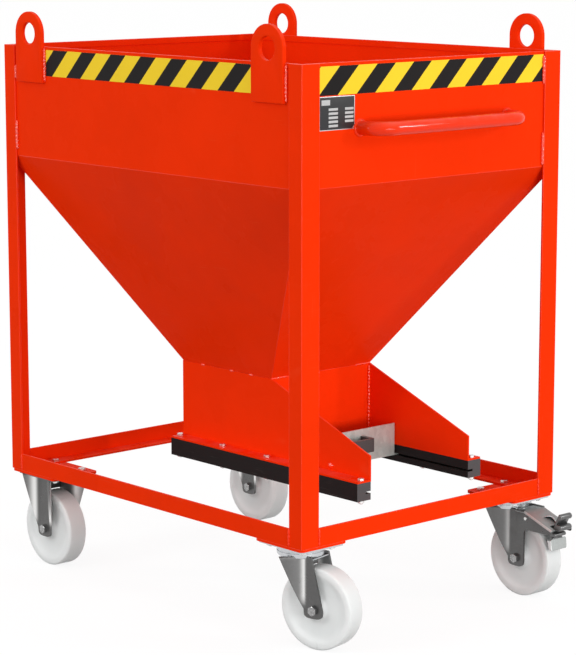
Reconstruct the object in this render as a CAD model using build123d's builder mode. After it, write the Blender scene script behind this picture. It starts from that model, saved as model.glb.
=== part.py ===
from build123d import *

import math
import os
from typing import NamedTuple

# Wheeled cement silo container: a sheet steel hopper in an angle bar frame on four castors

os.makedirs("parts", exist_ok=True)


class Thread(NamedTuple):
    """Sizes of one hexagon fastener, in mm."""

    shank: float
    flats: float
    head: float
    nut: float


class Rib(NamedTuple):
    """One foot rib of the brake pedal, placed from its pin, in mm."""

    rise: float
    reach: float
    height: float


M5 = Thread(shank=5.0, flats=8.0, head=3.5, nut=4.0)
M8 = Thread(shank=8.0, flats=13.0, head=5.3, nut=6.5)
M10 = Thread(shank=10.0, flats=16.0, head=6.4, nut=6.0)
M12 = Thread(shank=12.0, flats=18.0, head=7.5, nut=10.0)

# Frame of angle bar
frame_width = 780.0
frame_depth = 1040.0
frame_height = 1015.0
post_width = 50.0
angle_size = 40.0
angle_thickness = 5.0
pad_width = 132.0
pad_depth_front = 150.0
pad_depth_rear = 166.0
pad_thickness = 6.0
pad_corner = 10.0

# Castors
wheel_diameter = 180.0
wheel_width = 48.0
wheel_edge = 7.0
wheel_dish = 5.0
hub_diameter = 56.0
castor_headroom = 45.0
castor_plate_length = 140.0
castor_plate_width = 116.0
castor_plate_thickness = 5.0
castor_bolt_pitch_long = 105.0
castor_bolt_pitch_wide = 80.0
fork_gap = 60.0
fork_thickness = 5.0
leg_half_width = 24.0
leg_below_axle = 16.0
leg_flare = 38.0
fork_flare = 46.0
fork_trail = 55.0
fork_turn_left = 13.0
sleeve_diameter = 20.0
ring_diameter = 104.0
ring_wall = 3.5
ball_diameter = 8.0
ball_circle = 76.0
ball_count = 20
race_lip = 2.8
kingpin_diameter = 14.0
kingpin_head = 3.0
kingpin_foot = 8.0

# Brake on the right front castor
brake_sheet = 2.5
brake_pin_diameter = 8.0
brake_pin_drop = 15.0
brake_pin_tail = 2.0
cheek_depth = 42.0
hood_length = 84.0
hood_lip = 11.5
hood_slot_length = 30.0
hood_slot_width = 6.0
hood_slot_margin = 5.0
pedal_width = 38.0
pedal_hub = 14.0
pedal_web = 6.0
lever_length = 61.0
rib_height = 14.0
rib_reach = 91.0
rib_pitch = 25.0
top_rib_rise = 14.0
small_rib_height = 9.0
small_rib_reach = 74.0
small_rib_pitch = 19.0
shoe_length = 65.0
shoe_width = 52.0
shoe_thickness = 5.0
shoe_setback = 66.0

# Hopper
sheet_thickness = 3.0
hem_depth = 15.0
fold_height = 757.0
outlet_height = 284.0
outlet_width = 300.0
outlet_depth = 306.0

# Chute and slide gate
skirt_thickness = 4.0
skirt_front_height = 161.0
rail_top_height = 104.0
rail_size = 40.0
rail_length = 636.0
rail_end_margin = 9.5
rail_bolt_count = 5
slot_floor = 14.5
slot_height = 5.0
slot_depth = 15.0
gate_thickness = 3.0
gate_play = 0.3
gate_side_play = 1.5
gate_lip_ahead = 89.0
gate_lip_height = 76.0
gate_lip_half_width = 148.0
grip_width = 100.0
grip_height = 30.0
grip_reach = 40.0
grip_bar = 10.0
grip_corner = 9.0
grip_rise = 30.0

# Fittings on the walls
eye_width = 100.0
eye_thickness = 10.0
eye_hole = 50.0
eye_foot = 112.0
eye_rise = 29.0
eye_post_gap = 13.0
handle_tube = 30.0
handle_wall = 2.6
handle_inset = 168.0
handle_reach = 61.0
handle_bend = 30.0
handle_height = 877.0
tape_width = 60.0
tape_thickness = 0.5
tape_drop = 7.0
tape_end_gap = 1.5
plate_width = 100.0
plate_height = 70.0
plate_thickness = 0.8
plate_side_gap = 2.0
plate_tape_gap = 2.0

# Clearances
running_clearance = 0.05
hole_clearance = 0.3
bolt_tail = 2.0
ball_clearance = 0.2
side_clearance = 1.0
pedal_clearance = 2.0

# Derived levels
wheel_radius = wheel_diameter / 2
axle_height = wheel_radius
castor_height = wheel_diameter + castor_headroom
plate_bottom = castor_height - castor_plate_thickness
race_bottom = plate_bottom - race_lip
crown_top = race_bottom - ball_diameter - 2 * ball_clearance
crown_bottom = crown_top - fork_thickness
frame_base = castor_height + pad_thickness
rim = frame_base + frame_height
fold = frame_base + fold_height
outlet = frame_base + outlet_height
rail_top = frame_base + rail_top_height
rail_bottom = rail_top - rail_size
flange_top = rail_top + skirt_thickness
slot_bottom = rail_bottom + slot_floor
gate_bottom = slot_bottom + gate_play
gate_top = gate_bottom + gate_thickness
tape_top = rim - tape_drop

# Ribs of the brake pedal, from the top down
middle_rib_rise = top_rib_rise - rib_pitch
PEDAL_RIBS = (
    Rib(rise=top_rib_rise, reach=rib_reach, height=rib_height),
    Rib(rise=middle_rib_rise, reach=rib_reach, height=rib_height),
    Rib(rise=middle_rib_rise - small_rib_pitch, reach=small_rib_reach, height=small_rib_height),
)

# The brake pedal and the rear wheels stand out past the frame, and the origin is under the middle of it all
brake_pin_reach = fork_trail + leg_half_width + brake_pin_diameter
pedal_reach = brake_pin_reach + rib_reach
front_overhang = pedal_reach - pad_depth_front / 2
rear_overhang = wheel_radius - pad_depth_rear / 2
y_rear = (frame_depth + front_overhang - rear_overhang) / 2
y_front = y_rear - frame_depth
y_middle = (y_front + y_rear) / 2
x_side = frame_width / 2

# Derived places
wall_x = x_side - angle_thickness
wall_y = frame_depth / 2 - angle_thickness
outlet_x = outlet_width / 2 + sheet_thickness
outlet_y = outlet_depth / 2 + sheet_thickness
skirt_x = outlet_width / 2
rail_x = skirt_x + side_clearance
rail_rear = y_middle + outlet_y + side_clearance
rail_front = rail_rear - rail_length
bolt_x = rail_x + rail_size / 2
gate_half_width = rail_x + slot_depth - gate_side_play
gate_rear = y_middle + outlet_y
gate_lip_y = y_middle - outlet_y - gate_lip_ahead
castor_x = x_side - pad_width / 2
castor_front = y_front + pad_depth_front / 2
castor_rear = y_rear - pad_depth_rear / 2
leg_outer = fork_gap / 2 + fork_thickness
leg_middle = leg_outer - fork_thickness / 2
eye_centre = rim + eye_rise
eye_reach = frame_depth / 2 - angle_size - eye_post_gap - eye_width / 2
handle_x = x_side - handle_inset

SIDES = {"left": -1, "right": 1}
ENDS = {"front": -1, "rear": 1}
PAD_DEPTHS = {"front": pad_depth_front, "rear": pad_depth_rear}
CASTOR_ROWS = {"front": castor_front, "rear": castor_rear}


def keep(builder, name):
    """Names a finished piece and writes its file."""
    builder.part.label = name
    export_step(builder.part, f"parts/{name}.step")


def upright(base, x):
    """Plane across a castor at sideways place x: first direction is the castor's +Y, second is up."""
    return Plane(base.from_local_coords((x, 0, 0)), x_dir=base.y_dir, z_dir=base.x_dir)


def castor_base(x, y, turn=0.0):
    """Floor plane under a castor, turned about the upright axis."""
    angle = math.radians(turn)
    return Plane((x, y, 0), x_dir=(math.cos(angle), math.sin(angle), 0), z_dir=(0, 0, 1))


def edge_frame(side, half_x, half_y, inset):
    """Corners of one wall's mitred strip, outer edge first."""
    outer = {
        "front": ((-half_x, -half_y), (half_x, -half_y)),
        "rear": ((half_x, half_y), (-half_x, half_y)),
        "left": ((-half_x, half_y), (-half_x, -half_y)),
        "right": ((half_x, -half_y), (half_x, half_y)),
    }[side]
    inner = [
        (x - math.copysign(inset, x), y - math.copysign(inset, y)) for x, y in reversed(outer)
    ]
    return [(x, y_middle + y) for x, y in (*outer, *inner)]


def castor_bolt_places(x, y):
    """Places of the four bolts that hold one castor."""
    return [
        (x + across * castor_bolt_pitch_wide / 2, y + along * castor_bolt_pitch_long / 2)
        for across in (-1, 1)
        for along in (-1, 1)
    ]


CASTOR_BOLTS = [
    place
    for row in CASTOR_ROWS.values()
    for way in SIDES.values()
    for place in castor_bolt_places(way * castor_x, row)
]


def on_side_rail(x, y):
    """Whether a place lies on the level flange of a left or right rail."""
    return abs(x) > x_side - angle_size and abs(y - y_middle) < frame_depth / 2 - angle_size


def on_end_rail(x, y):
    """Whether a place lies on the level flange of the front or rear rail."""
    return abs(x) < x_side - post_width and abs(y - y_middle) > frame_depth / 2 - angle_size


def bolts(name, size, seats):
    """Hexagon bolts: each seat is the plane under the head, facing out, and the shank's length."""
    with BuildPart() as group:
        for seat, length in seats:
            with BuildSketch(seat):
                RegularPolygon(size.flats / 2, 6, major_radius=False)
            extrude(amount=size.head)
            with BuildSketch(seat):
                Circle(size.shank / 2)
            extrude(amount=-length)
    keep(group, name)


def nuts(name, size, seats):
    """Hexagon nuts: each seat is the plane that the nut sits on, facing out."""
    with BuildPart() as group:
        for seat in seats:
            with BuildSketch(seat):
                RegularPolygon(size.flats / 2, 6, major_radius=False)
                Circle(size.shank / 2, mode=Mode.SUBTRACT)
            extrude(amount=size.nut)
    keep(group, name)


def sleeves(name, bases):
    """Spacer tubes between the legs of castors."""
    with BuildPart() as group:
        for base, setback in bases:
            with BuildSketch(upright(base, -fork_gap / 2)):
                with Locations((-setback, axle_height)):
                    Circle(sleeve_diameter / 2)
                    Circle(M12.shank / 2 + hole_clearance, mode=Mode.SUBTRACT)
            extrude(amount=fork_gap)
    keep(group, name)


def axle_seat(base, setback, way):
    """Plane on the outer face of a castor's leg at the axle, facing away from the wheel."""
    origin = base.from_local_coords((way * leg_outer, -setback, axle_height))
    return Plane(origin, x_dir=base.y_dir, z_dir=base.x_dir * way)


def axle_set(prefix, plural, bases):
    """Axle bolts, nuts and sleeves of castors that share one body."""
    length = 2 * leg_outer + M12.nut + bolt_tail
    bolts(f"{prefix}_axle_bolt{plural}", M12, [(axle_seat(b, s, -1), length) for b, s in bases])
    nuts(f"{prefix}_axle_nut{plural}", M12, [axle_seat(b, s, 1) for b, s in bases])
    sleeves(f"{prefix}_axle_sleeve{plural}", bases)


def wheel(name, base, setback):
    """Solid plastic wheel with a plain bore, rounded tread edges and dished sides."""
    centre = base.from_local_coords((0, -setback, axle_height))
    half = wheel_width / 2
    hub_half = fork_gap / 2 - side_clearance
    hub = hub_diameter / 2
    bore = sleeve_diameter / 2 + running_clearance
    rim_inner = wheel_radius - 2 * wheel_edge
    with BuildPart() as piece:
        with BuildSketch(Plane(centre, x_dir=base.x_dir, z_dir=-base.y_dir)) as profile:
            with BuildLine():
                Polyline(
                    (-hub_half, bore), (hub_half, bore), (hub_half, hub - wheel_dish),
                    (half - wheel_dish, hub + wheel_dish), (half - wheel_dish, rim_inner - wheel_edge),
                    (half, rim_inner), (half, wheel_radius), (-half, wheel_radius),
                    (-half, rim_inner), (-half + wheel_dish, rim_inner - wheel_edge),
                    (-half + wheel_dish, hub + wheel_dish), (-hub_half, hub - wheel_dish),
                    close=True,
                )
            make_face()
            fillet(profile.vertices().sort_by(Axis.Y)[-2:], radius=wheel_edge)
        revolve(axis=Axis(centre, base.x_dir))
    keep(piece, name)


# Frame
for end, along in ENDS.items():
    for side, across in SIDES.items():
        corner_x = across * x_side
        corner_y = y_middle + along * frame_depth / 2
        with BuildPart() as post:
            with BuildSketch(Plane.XY.offset(frame_base)):
                with BuildLine():
                    Polyline(
                        (corner_x, corner_y),
                        (corner_x - across * post_width, corner_y),
                        (corner_x - across * post_width, corner_y - along * angle_thickness),
                        (corner_x - across * angle_thickness, corner_y - along * angle_thickness),
                        (corner_x - across * angle_thickness, corner_y - along * angle_size),
                        (corner_x, corner_y - along * angle_size),
                        close=True,
                    )
                make_face()
            extrude(amount=frame_height)
        keep(post, f"post_{end}_{side}")

        pad_depth = PAD_DEPTHS[end]
        with BuildPart() as pad:
            with BuildSketch(Plane.XY.offset(castor_height)) as outline:
                with Locations((corner_x - across * pad_width / 2, corner_y - along * pad_depth / 2)):
                    RectangleRounded(pad_width, pad_depth, pad_corner)
                with Locations(*CASTOR_BOLTS):
                    Circle(M10.shank / 2 + hole_clearance, mode=Mode.SUBTRACT)
            extrude(amount=pad_thickness)
        keep(pad, f"castor_pad_{end}_{side}")

for end, along in ENDS.items():
    outer_y = y_middle + along * frame_depth / 2
    with BuildPart() as end_rail:
        with BuildSketch(Plane.YZ.offset(-x_side + post_width)):
            with BuildLine():
                Polyline(
                    (outer_y, frame_base),
                    (outer_y - along * angle_size, frame_base),
                    (outer_y - along * angle_size, frame_base + angle_thickness),
                    (outer_y - along * angle_thickness, frame_base + angle_thickness),
                    (outer_y - along * angle_thickness, frame_base + angle_size),
                    (outer_y, frame_base + angle_size),
                    close=True,
                )
            make_face()
        extrude(amount=frame_width - 2 * post_width)
        with BuildSketch(Plane.XY.offset(frame_base)):
            with Locations(*[place for place in CASTOR_BOLTS if on_end_rail(*place)]):
                Circle(M10.shank / 2 + hole_clearance)
        extrude(amount=angle_thickness, mode=Mode.SUBTRACT)
    keep(end_rail, f"rail_{end}")

for side, across in SIDES.items():
    outer_x = across * x_side
    with BuildPart() as side_rail:
        with BuildSketch(Plane.XZ.offset(-(y_rear - angle_size))):
            with BuildLine():
                Polyline(
                    (outer_x, frame_base),
                    (outer_x - across * angle_size, frame_base),
                    (outer_x - across * angle_size, frame_base + angle_thickness),
                    (outer_x - across * angle_thickness, frame_base + angle_thickness),
                    (outer_x - across * angle_thickness, frame_base + angle_size),
                    (outer_x, frame_base + angle_size),
                    close=True,
                )
            make_face()
        extrude(amount=frame_depth - 2 * angle_size)
        with BuildSketch(Plane.XY.offset(frame_base)):
            with Locations(*[place for place in CASTOR_BOLTS if on_side_rail(*place)]):
                Circle(M10.shank / 2 + hole_clearance)
        extrude(amount=angle_thickness, mode=Mode.SUBTRACT)
    keep(side_rail, f"rail_{side}")

# Hopper
for side in (*ENDS, *SIDES):
    with BuildPart() as hopper_wall:
        with BuildSketch(Plane.XY.offset(fold)):
            with BuildLine():
                Polyline(*edge_frame(side, wall_x, wall_y, sheet_thickness), close=True)
            make_face()
        extrude(amount=rim - fold)
        with BuildSketch(Plane.XY.offset(rim)):
            with BuildLine():
                Polyline(
                    *edge_frame(side, wall_x - sheet_thickness, wall_y - sheet_thickness, sheet_thickness),
                    close=True,
                )
            make_face()
        extrude(amount=-hem_depth)
        with BuildSketch(Plane.XY.offset(fold)):
            with BuildLine():
                Polyline(*edge_frame(side, wall_x, wall_y, sheet_thickness), close=True)
            make_face()
        with BuildSketch(Plane.XY.offset(outlet)):
            with BuildLine():
                Polyline(*edge_frame(side, outlet_x, outlet_y, sheet_thickness), close=True)
            make_face()
        loft(ruled=True)
    keep(hopper_wall, f"hopper_wall_{side}")

# Chute under the outlet
for end, along in ENDS.items():
    with BuildPart() as chute_wall:
        with BuildSketch(Plane.XY.offset(gate_top + side_clearance)):
            with Locations((0, y_middle + along * (outlet_y - sheet_thickness / 2))):
                Rectangle(outlet_width, sheet_thickness)
        extrude(amount=outlet - gate_top - side_clearance)
    keep(chute_wall, f"chute_{end}_wall")

bolt_pitch = (rail_length - 2 * rail_end_margin) / (rail_bolt_count - 1)
bolt_rows = [rail_front + rail_end_margin + bolt_pitch * step for step in range(rail_bolt_count)]
for side, across in SIDES.items():
    bolt_places = [(across * bolt_x, row) for row in bolt_rows]
    with BuildPart() as skirt:
        with BuildSketch(Plane.YZ.offset(across * skirt_x)):
            with BuildLine():
                Polyline(
                    (rail_rear, rail_top),
                    (rail_rear, outlet),
                    (y_middle - outlet_y, outlet),
                    (rail_front, frame_base + skirt_front_height),
                    (rail_front, rail_top),
                    close=True,
                )
            make_face()
        extrude(amount=across * skirt_thickness)
        with BuildSketch(Plane.XY.offset(rail_top)):
            with Locations((across * (skirt_x + rail_size / 2), (rail_front + rail_rear) / 2)):
                Rectangle(rail_size, rail_length)
            with Locations(*bolt_places):
                Circle(M8.shank / 2 + hole_clearance, mode=Mode.SUBTRACT)
        extrude(amount=skirt_thickness)
    keep(skirt, f"chute_skirt_{side}")

    with BuildPart() as guide_rail:
        with BuildSketch(Plane.XZ.offset(-rail_rear)):
            with Locations((across * bolt_x, rail_bottom + rail_size / 2)):
                Rectangle(rail_size, rail_size)
            with Locations((across * (rail_x + slot_depth / 2), slot_bottom + slot_height / 2)):
                Rectangle(slot_depth, slot_height, mode=Mode.SUBTRACT)
        extrude(amount=rail_length)
        with BuildSketch(Plane.XY.offset(rail_bottom)):
            with Locations(*bolt_places):
                Circle(M8.shank / 2 + hole_clearance)
        extrude(amount=rail_size, mode=Mode.SUBTRACT)
    keep(guide_rail, f"guide_rail_{side}")

rail_bolt_places = [(across * bolt_x, row) for across in SIDES.values() for row in bolt_rows]
rail_bolt_length = skirt_thickness + rail_size + M8.nut + bolt_tail
bolts("guide_rail_bolts", M8, [(Plane((x, y, flange_top)), rail_bolt_length) for x, y in rail_bolt_places])
nuts("guide_rail_nuts", M8, [Plane((x, y, rail_bottom), z_dir=(0, 0, -1)) for x, y in rail_bolt_places])

# Slide gate
grip_x = grip_width / 2 - grip_bar / 2
grip_bottom = gate_bottom + grip_rise
grip_middle = grip_bottom + grip_height / 2
lip_front = gate_lip_y
lip_rear = gate_lip_y + gate_thickness
with BuildPart() as gate:
    with BuildSketch(Plane.XY.offset(gate_bottom)):
        with Locations((0, (lip_front + gate_rear) / 2)):
            Rectangle(2 * gate_half_width, gate_rear - lip_front)
    extrude(amount=gate_thickness)
    with BuildSketch(Plane.XZ.offset(-lip_front)):
        with Locations((0, gate_bottom + gate_lip_height / 2)):
            Rectangle(2 * gate_lip_half_width, gate_lip_height)
        with Locations((-grip_x, grip_middle), (grip_x, grip_middle)):
            Circle(M5.shank / 2 + hole_clearance, mode=Mode.SUBTRACT)
    extrude(amount=-gate_thickness)
keep(gate, "gate")

grip_front = lip_front - grip_reach
with BuildPart() as gate_handle:
    with BuildSketch(Plane.XY.offset(grip_bottom)):
        with BuildLine():
            FilletPolyline(
                (-grip_width / 2, lip_front), (-grip_width / 2, grip_front),
                (grip_width / 2, grip_front), (grip_width / 2, lip_front),
                radius=grip_corner,
            )
            Polyline(
                (grip_width / 2, lip_front), (grip_width / 2 - grip_bar, lip_front),
                (grip_width / 2 - grip_bar, grip_front + grip_bar),
                (-grip_width / 2 + grip_bar, grip_front + grip_bar),
                (-grip_width / 2 + grip_bar, lip_front), (-grip_width / 2, lip_front),
            )
        make_face()
    extrude(amount=grip_height)
    with BuildSketch(Plane.XZ.offset(-lip_front)):
        with Locations((-grip_x, grip_middle), (grip_x, grip_middle)):
            Circle(M5.shank / 2 + running_clearance)
    extrude(amount=grip_reach / 2, mode=Mode.SUBTRACT)
keep(gate_handle, "gate_handle")

screw_length = gate_thickness + grip_reach / 2 - bolt_tail
screw_seats = [
    Plane((across * grip_x, lip_rear, grip_middle), x_dir=(1, 0, 0), z_dir=(0, 1, 0))
    for across in SIDES.values()
]
bolts("gate_handle_screws", M5, [(seat, screw_length) for seat in screw_seats])

# Fittings on the walls
for end, along in ENDS.items():
    for side, across in SIDES.items():
        eye_y = y_middle + along * eye_reach
        with BuildPart() as eye:
            with BuildSketch(Plane.YZ.offset(across * wall_x)):
                with Locations((eye_y, eye_centre)):
                    Circle(eye_width / 2)
                with Locations((eye_y, eye_centre - eye_foot / 2)):
                    Rectangle(eye_width, eye_foot)
                with Locations((eye_y, eye_centre)):
                    Circle(eye_hole / 2, mode=Mode.SUBTRACT)
            extrude(amount=across * eye_thickness)
        keep(eye, f"lifting_eye_{end}_{side}")

handle_wall_y = y_middle - wall_y
with BuildPart() as push_handle:
    with BuildLine(Plane.XY.offset(frame_base + handle_height)) as handle_path:
        FilletPolyline(
            (-handle_x, handle_wall_y), (-handle_x, handle_wall_y - handle_reach),
            (handle_x, handle_wall_y - handle_reach), (handle_x, handle_wall_y),
            radius=handle_bend,
        )
    with BuildSketch(Plane(handle_path.line @ 0, z_dir=handle_path.line % 0)):
        Circle(handle_tube / 2)
        Circle(handle_tube / 2 - handle_wall, mode=Mode.SUBTRACT)
    sweep()
keep(push_handle, "push_handle")

tape_middle = tape_top - tape_width / 2
side_tape = 2 * eye_reach - eye_width - 2 * tape_end_gap
end_tape = frame_width - 2 * post_width - 2 * tape_end_gap
with BuildPart() as tape:
    for along in ENDS.values():
        with BuildSketch(Plane.XZ.offset(-(y_middle + along * wall_y))):
            with Locations((0, tape_middle)):
                Rectangle(end_tape, tape_width)
        extrude(amount=-along * tape_thickness)
    for across in SIDES.values():
        with BuildSketch(Plane.YZ.offset(across * wall_x)):
            with Locations((y_middle, tape_middle)):
                Rectangle(side_tape, tape_width)
        extrude(amount=across * tape_thickness)
keep(tape, "hazard_tape")

with BuildPart() as data_plate:
    with BuildSketch(Plane.XZ.offset(-handle_wall_y)):
        with Locations(
            (
                -x_side + post_width + plate_side_gap + plate_width / 2,
                tape_top - tape_width - plate_tape_gap - plate_height / 2,
            )
        ):
            Rectangle(plate_width, plate_height)
    extrude(amount=plate_thickness)
keep(data_plate, "data_plate")

# Castor fastenings
bolt_seats = []
for x, y in CASTOR_BOLTS:
    on_rail = angle_thickness if on_side_rail(x, y) or on_end_rail(x, y) else 0.0
    grip = on_rail + pad_thickness + castor_plate_thickness
    bolt_seats.append((Plane((x, y, frame_base + on_rail)), grip + M10.nut + bolt_tail))
bolts("castor_bolts", M10, bolt_seats)
nuts("castor_nuts", M10, [Plane((x, y, plate_bottom), z_dir=(0, 0, -1)) for x, y in CASTOR_BOLTS])

# Rear castors
for side, across in SIDES.items():
    base = castor_base(across * castor_x, castor_rear)
    flare_side = math.sin(math.radians(45))
    with BuildPart() as bracket:
        with BuildSketch(base.offset(plate_bottom)):
            Rectangle(castor_plate_width, castor_plate_length)
            with GridLocations(castor_bolt_pitch_wide, castor_bolt_pitch_long, 2, 2):
                Circle(M10.shank / 2 + hole_clearance, mode=Mode.SUBTRACT)
        extrude(amount=castor_plate_thickness)
        for way in (-1, 1):
            with BuildSketch(upright(base, way * fork_gap / 2)):
                with BuildLine():
                    Polyline(
                        (-leg_half_width - fork_thickness, plate_bottom),
                        (-leg_half_width, axle_height),
                        (-leg_half_width / 2, axle_height - leg_below_axle),
                        (leg_half_width / 2, axle_height - leg_below_axle),
                        (leg_half_width, axle_height),
                        (leg_half_width + fork_thickness, plate_bottom),
                        close=True,
                    )
                make_face()
                with Locations((0, axle_height)):
                    Circle(M12.shank / 2 + hole_clearance, mode=Mode.SUBTRACT)
            extrude(amount=way * fork_thickness)
            for lean in (-1, 1):
                out = base.x_dir * (way * flare_side) + base.y_dir * (lean * flare_side)
                bend = base.from_local_coords((way * leg_middle, lean * leg_half_width, 0))
                with BuildSketch(Plane(bend, x_dir=out, z_dir=out.cross(Vector(0, 0, 1)))):
                    with BuildLine():
                        Polyline(
                            (0, plate_bottom), (leg_flare, plate_bottom), (0, axle_height), close=True,
                        )
                    make_face()
                extrude(amount=fork_thickness / 2, both=True)
    keep(bracket, f"fixed_bracket_{side}")
    wheel(f"wheel_rear_{side}", base, 0.0)

axle_set("rear", "s", [(castor_base(across * castor_x, castor_rear), 0.0) for across in SIDES.values()])

# Front castors
TURNS = {"left": fork_turn_left, "right": 0.0}
bend_y = -fork_trail + leg_half_width + fork_thickness
LEG_TOPS = {"left": bend_y - leg_half_width, "right": -fork_trail - leg_half_width}
SWIVELS = {side: castor_base(across * castor_x, castor_front) for side, across in SIDES.items()}
ring_inner = ring_diameter / 2 - ring_wall
for side, across in SIDES.items():
    square = SWIVELS[side]
    with BuildPart() as swivel_plate:
        with BuildSketch(square.offset(plate_bottom)):
            Rectangle(castor_plate_width, castor_plate_length)
            with GridLocations(castor_bolt_pitch_wide, castor_bolt_pitch_long, 2, 2):
                Circle(M10.shank / 2 + hole_clearance, mode=Mode.SUBTRACT)
        extrude(amount=castor_plate_thickness)
        with BuildSketch(square.offset(plate_bottom)):
            Circle(ring_inner - side_clearance)
        extrude(amount=-race_lip)
        with BuildSketch(square.offset(race_bottom)):
            Circle(kingpin_diameter / 2 + running_clearance)
        extrude(amount=race_lip + castor_plate_thickness, mode=Mode.SUBTRACT)
        with BuildSketch(square.offset(castor_height)):
            Circle(kingpin_diameter + running_clearance)
        extrude(amount=-kingpin_head, mode=Mode.SUBTRACT)
    keep(swivel_plate, f"swivel_plate_{side}")

    base = castor_base(across * castor_x, castor_front, TURNS[side])
    flare_side = math.sin(math.radians(45))
    with BuildPart() as fork:
        with BuildSketch(base.offset(crown_bottom)):
            Circle(ring_diameter / 2)
            with Locations((0, (bend_y + LEG_TOPS[side]) / 2)):
                Rectangle(2 * leg_outer, bend_y - LEG_TOPS[side])
        extrude(amount=fork_thickness)
        with BuildSketch(base.offset(crown_top)):
            Circle(ring_diameter / 2)
            Circle(ring_inner, mode=Mode.SUBTRACT)
        extrude(amount=plate_bottom - crown_top - side_clearance)
        for way in (-1, 1):
            with BuildSketch(upright(base, way * fork_gap / 2)):
                with BuildLine():
                    Polyline(
                        (bend_y, crown_bottom),
                        (LEG_TOPS[side], crown_bottom),
                        (-fork_trail - leg_half_width, axle_height),
                        (-fork_trail - leg_half_width / 2, axle_height - leg_below_axle),
                        (-fork_trail + leg_half_width / 2, axle_height - leg_below_axle),
                        (-fork_trail + leg_half_width, axle_height),
                        close=True,
                    )
                make_face()
                with Locations((-fork_trail, axle_height)):
                    Circle(M12.shank / 2 + hole_clearance, mode=Mode.SUBTRACT)
            extrude(amount=way * fork_thickness)
            out = base.x_dir * (way * flare_side) + base.y_dir * flare_side
            bend = base.from_local_coords((way * leg_middle, bend_y - fork_thickness, 0))
            with BuildSketch(Plane(bend, x_dir=out, z_dir=out.cross(Vector(0, 0, 1)))):
                with BuildLine():
                    Polyline(
                        (0, crown_bottom), (fork_flare, crown_bottom), (0, axle_height), close=True,
                    )
                make_face()
            extrude(amount=fork_thickness / 2, both=True)
        with BuildSketch(base.offset(crown_bottom)):
            Circle(kingpin_diameter / 2 + running_clearance)
        extrude(amount=fork_thickness, mode=Mode.SUBTRACT)
    keep(fork, f"fork_{side}")
    wheel(f"wheel_front_{side}", base, fork_trail)
    axle_set(f"front_{side}", "", [(base, fork_trail)])

with BuildPart() as kingpins:
    for square in SWIVELS.values():
        with BuildSketch(square.offset(castor_height)):
            Circle(kingpin_diameter)
        extrude(amount=-kingpin_head)
        with BuildSketch(square.offset(castor_height)):
            Circle(kingpin_diameter / 2)
        extrude(amount=-(castor_height - crown_bottom + hole_clearance + kingpin_foot))
        with BuildSketch(square.offset(crown_bottom - hole_clearance)):
            Circle(kingpin_diameter)
        extrude(amount=-kingpin_foot)
keep(kingpins, "kingpins")

ball_height = crown_top + ball_clearance + ball_diameter / 2
with BuildPart() as balls:
    for square in SWIVELS.values():
        for step in range(ball_count):
            angle = 2 * math.pi * step / ball_count
            reach = ball_circle / 2
            place = (reach * math.cos(angle), reach * math.sin(angle), ball_height)
            with Locations(square.from_local_coords(place)):
                Sphere(ball_diameter / 2)
keep(balls, "swivel_balls")

# Brake on the right front castor
base = SWIVELS["right"]
pin_y = -brake_pin_reach
pin_z = crown_bottom - brake_pin_drop
cheek_rear = LEG_TOPS["left"]
hood_rear = LEG_TOPS["right"]
hood_front = hood_rear - hood_length
cheek_low = crown_bottom - cheek_depth
hood_low = cheek_low + hood_lip
web_rear = pin_y - lever_length
notch_rear = web_rear + pedal_clearance
notch_half = pedal_width / 2 + pedal_clearance
slot_middle = notch_rear + hood_slot_margin + hood_slot_length / 2
with BuildPart() as brake_housing:
    for way in (-1, 1):
        with BuildSketch(upright(base, way * leg_outer)):
            with BuildLine():
                Polyline(
                    (cheek_rear, crown_bottom), (hood_rear, crown_bottom), (hood_front, hood_low),
                    (hood_front, cheek_low), (cheek_rear, cheek_low), close=True,
                )
            make_face()
            with Locations((pin_y, pin_z)):
                Circle(brake_pin_diameter / 2 + running_clearance, mode=Mode.SUBTRACT)
        extrude(amount=way * brake_sheet)
    with BuildSketch(upright(base, -leg_outer)):
        with BuildLine():
            Polyline(
                (hood_rear, crown_bottom), (hood_front, hood_low),
                (hood_front, hood_low - brake_sheet), (hood_rear, crown_bottom - brake_sheet),
                close=True,
            )
        make_face()
    extrude(amount=2 * leg_outer)
    with BuildSketch(base.offset(cheek_low)):
        with Locations((0, (notch_rear + hood_front) / 2)):
            Rectangle(2 * notch_half, notch_rear - hood_front)
        with Locations((0, slot_middle)):
            SlotOverall(hood_slot_length, hood_slot_width, rotation=90)
    extrude(amount=cheek_depth, mode=Mode.SUBTRACT)
keep(brake_housing, "brake_housing")

with BuildPart() as brake_pin:
    with BuildSketch(upright(base, -leg_outer - brake_sheet - brake_pin_tail)):
        with Locations((pin_y, pin_z)):
            Circle(brake_pin_diameter / 2)
    extrude(amount=2 * (leg_outer + brake_sheet + brake_pin_tail))
keep(brake_pin, "brake_pin")

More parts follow.
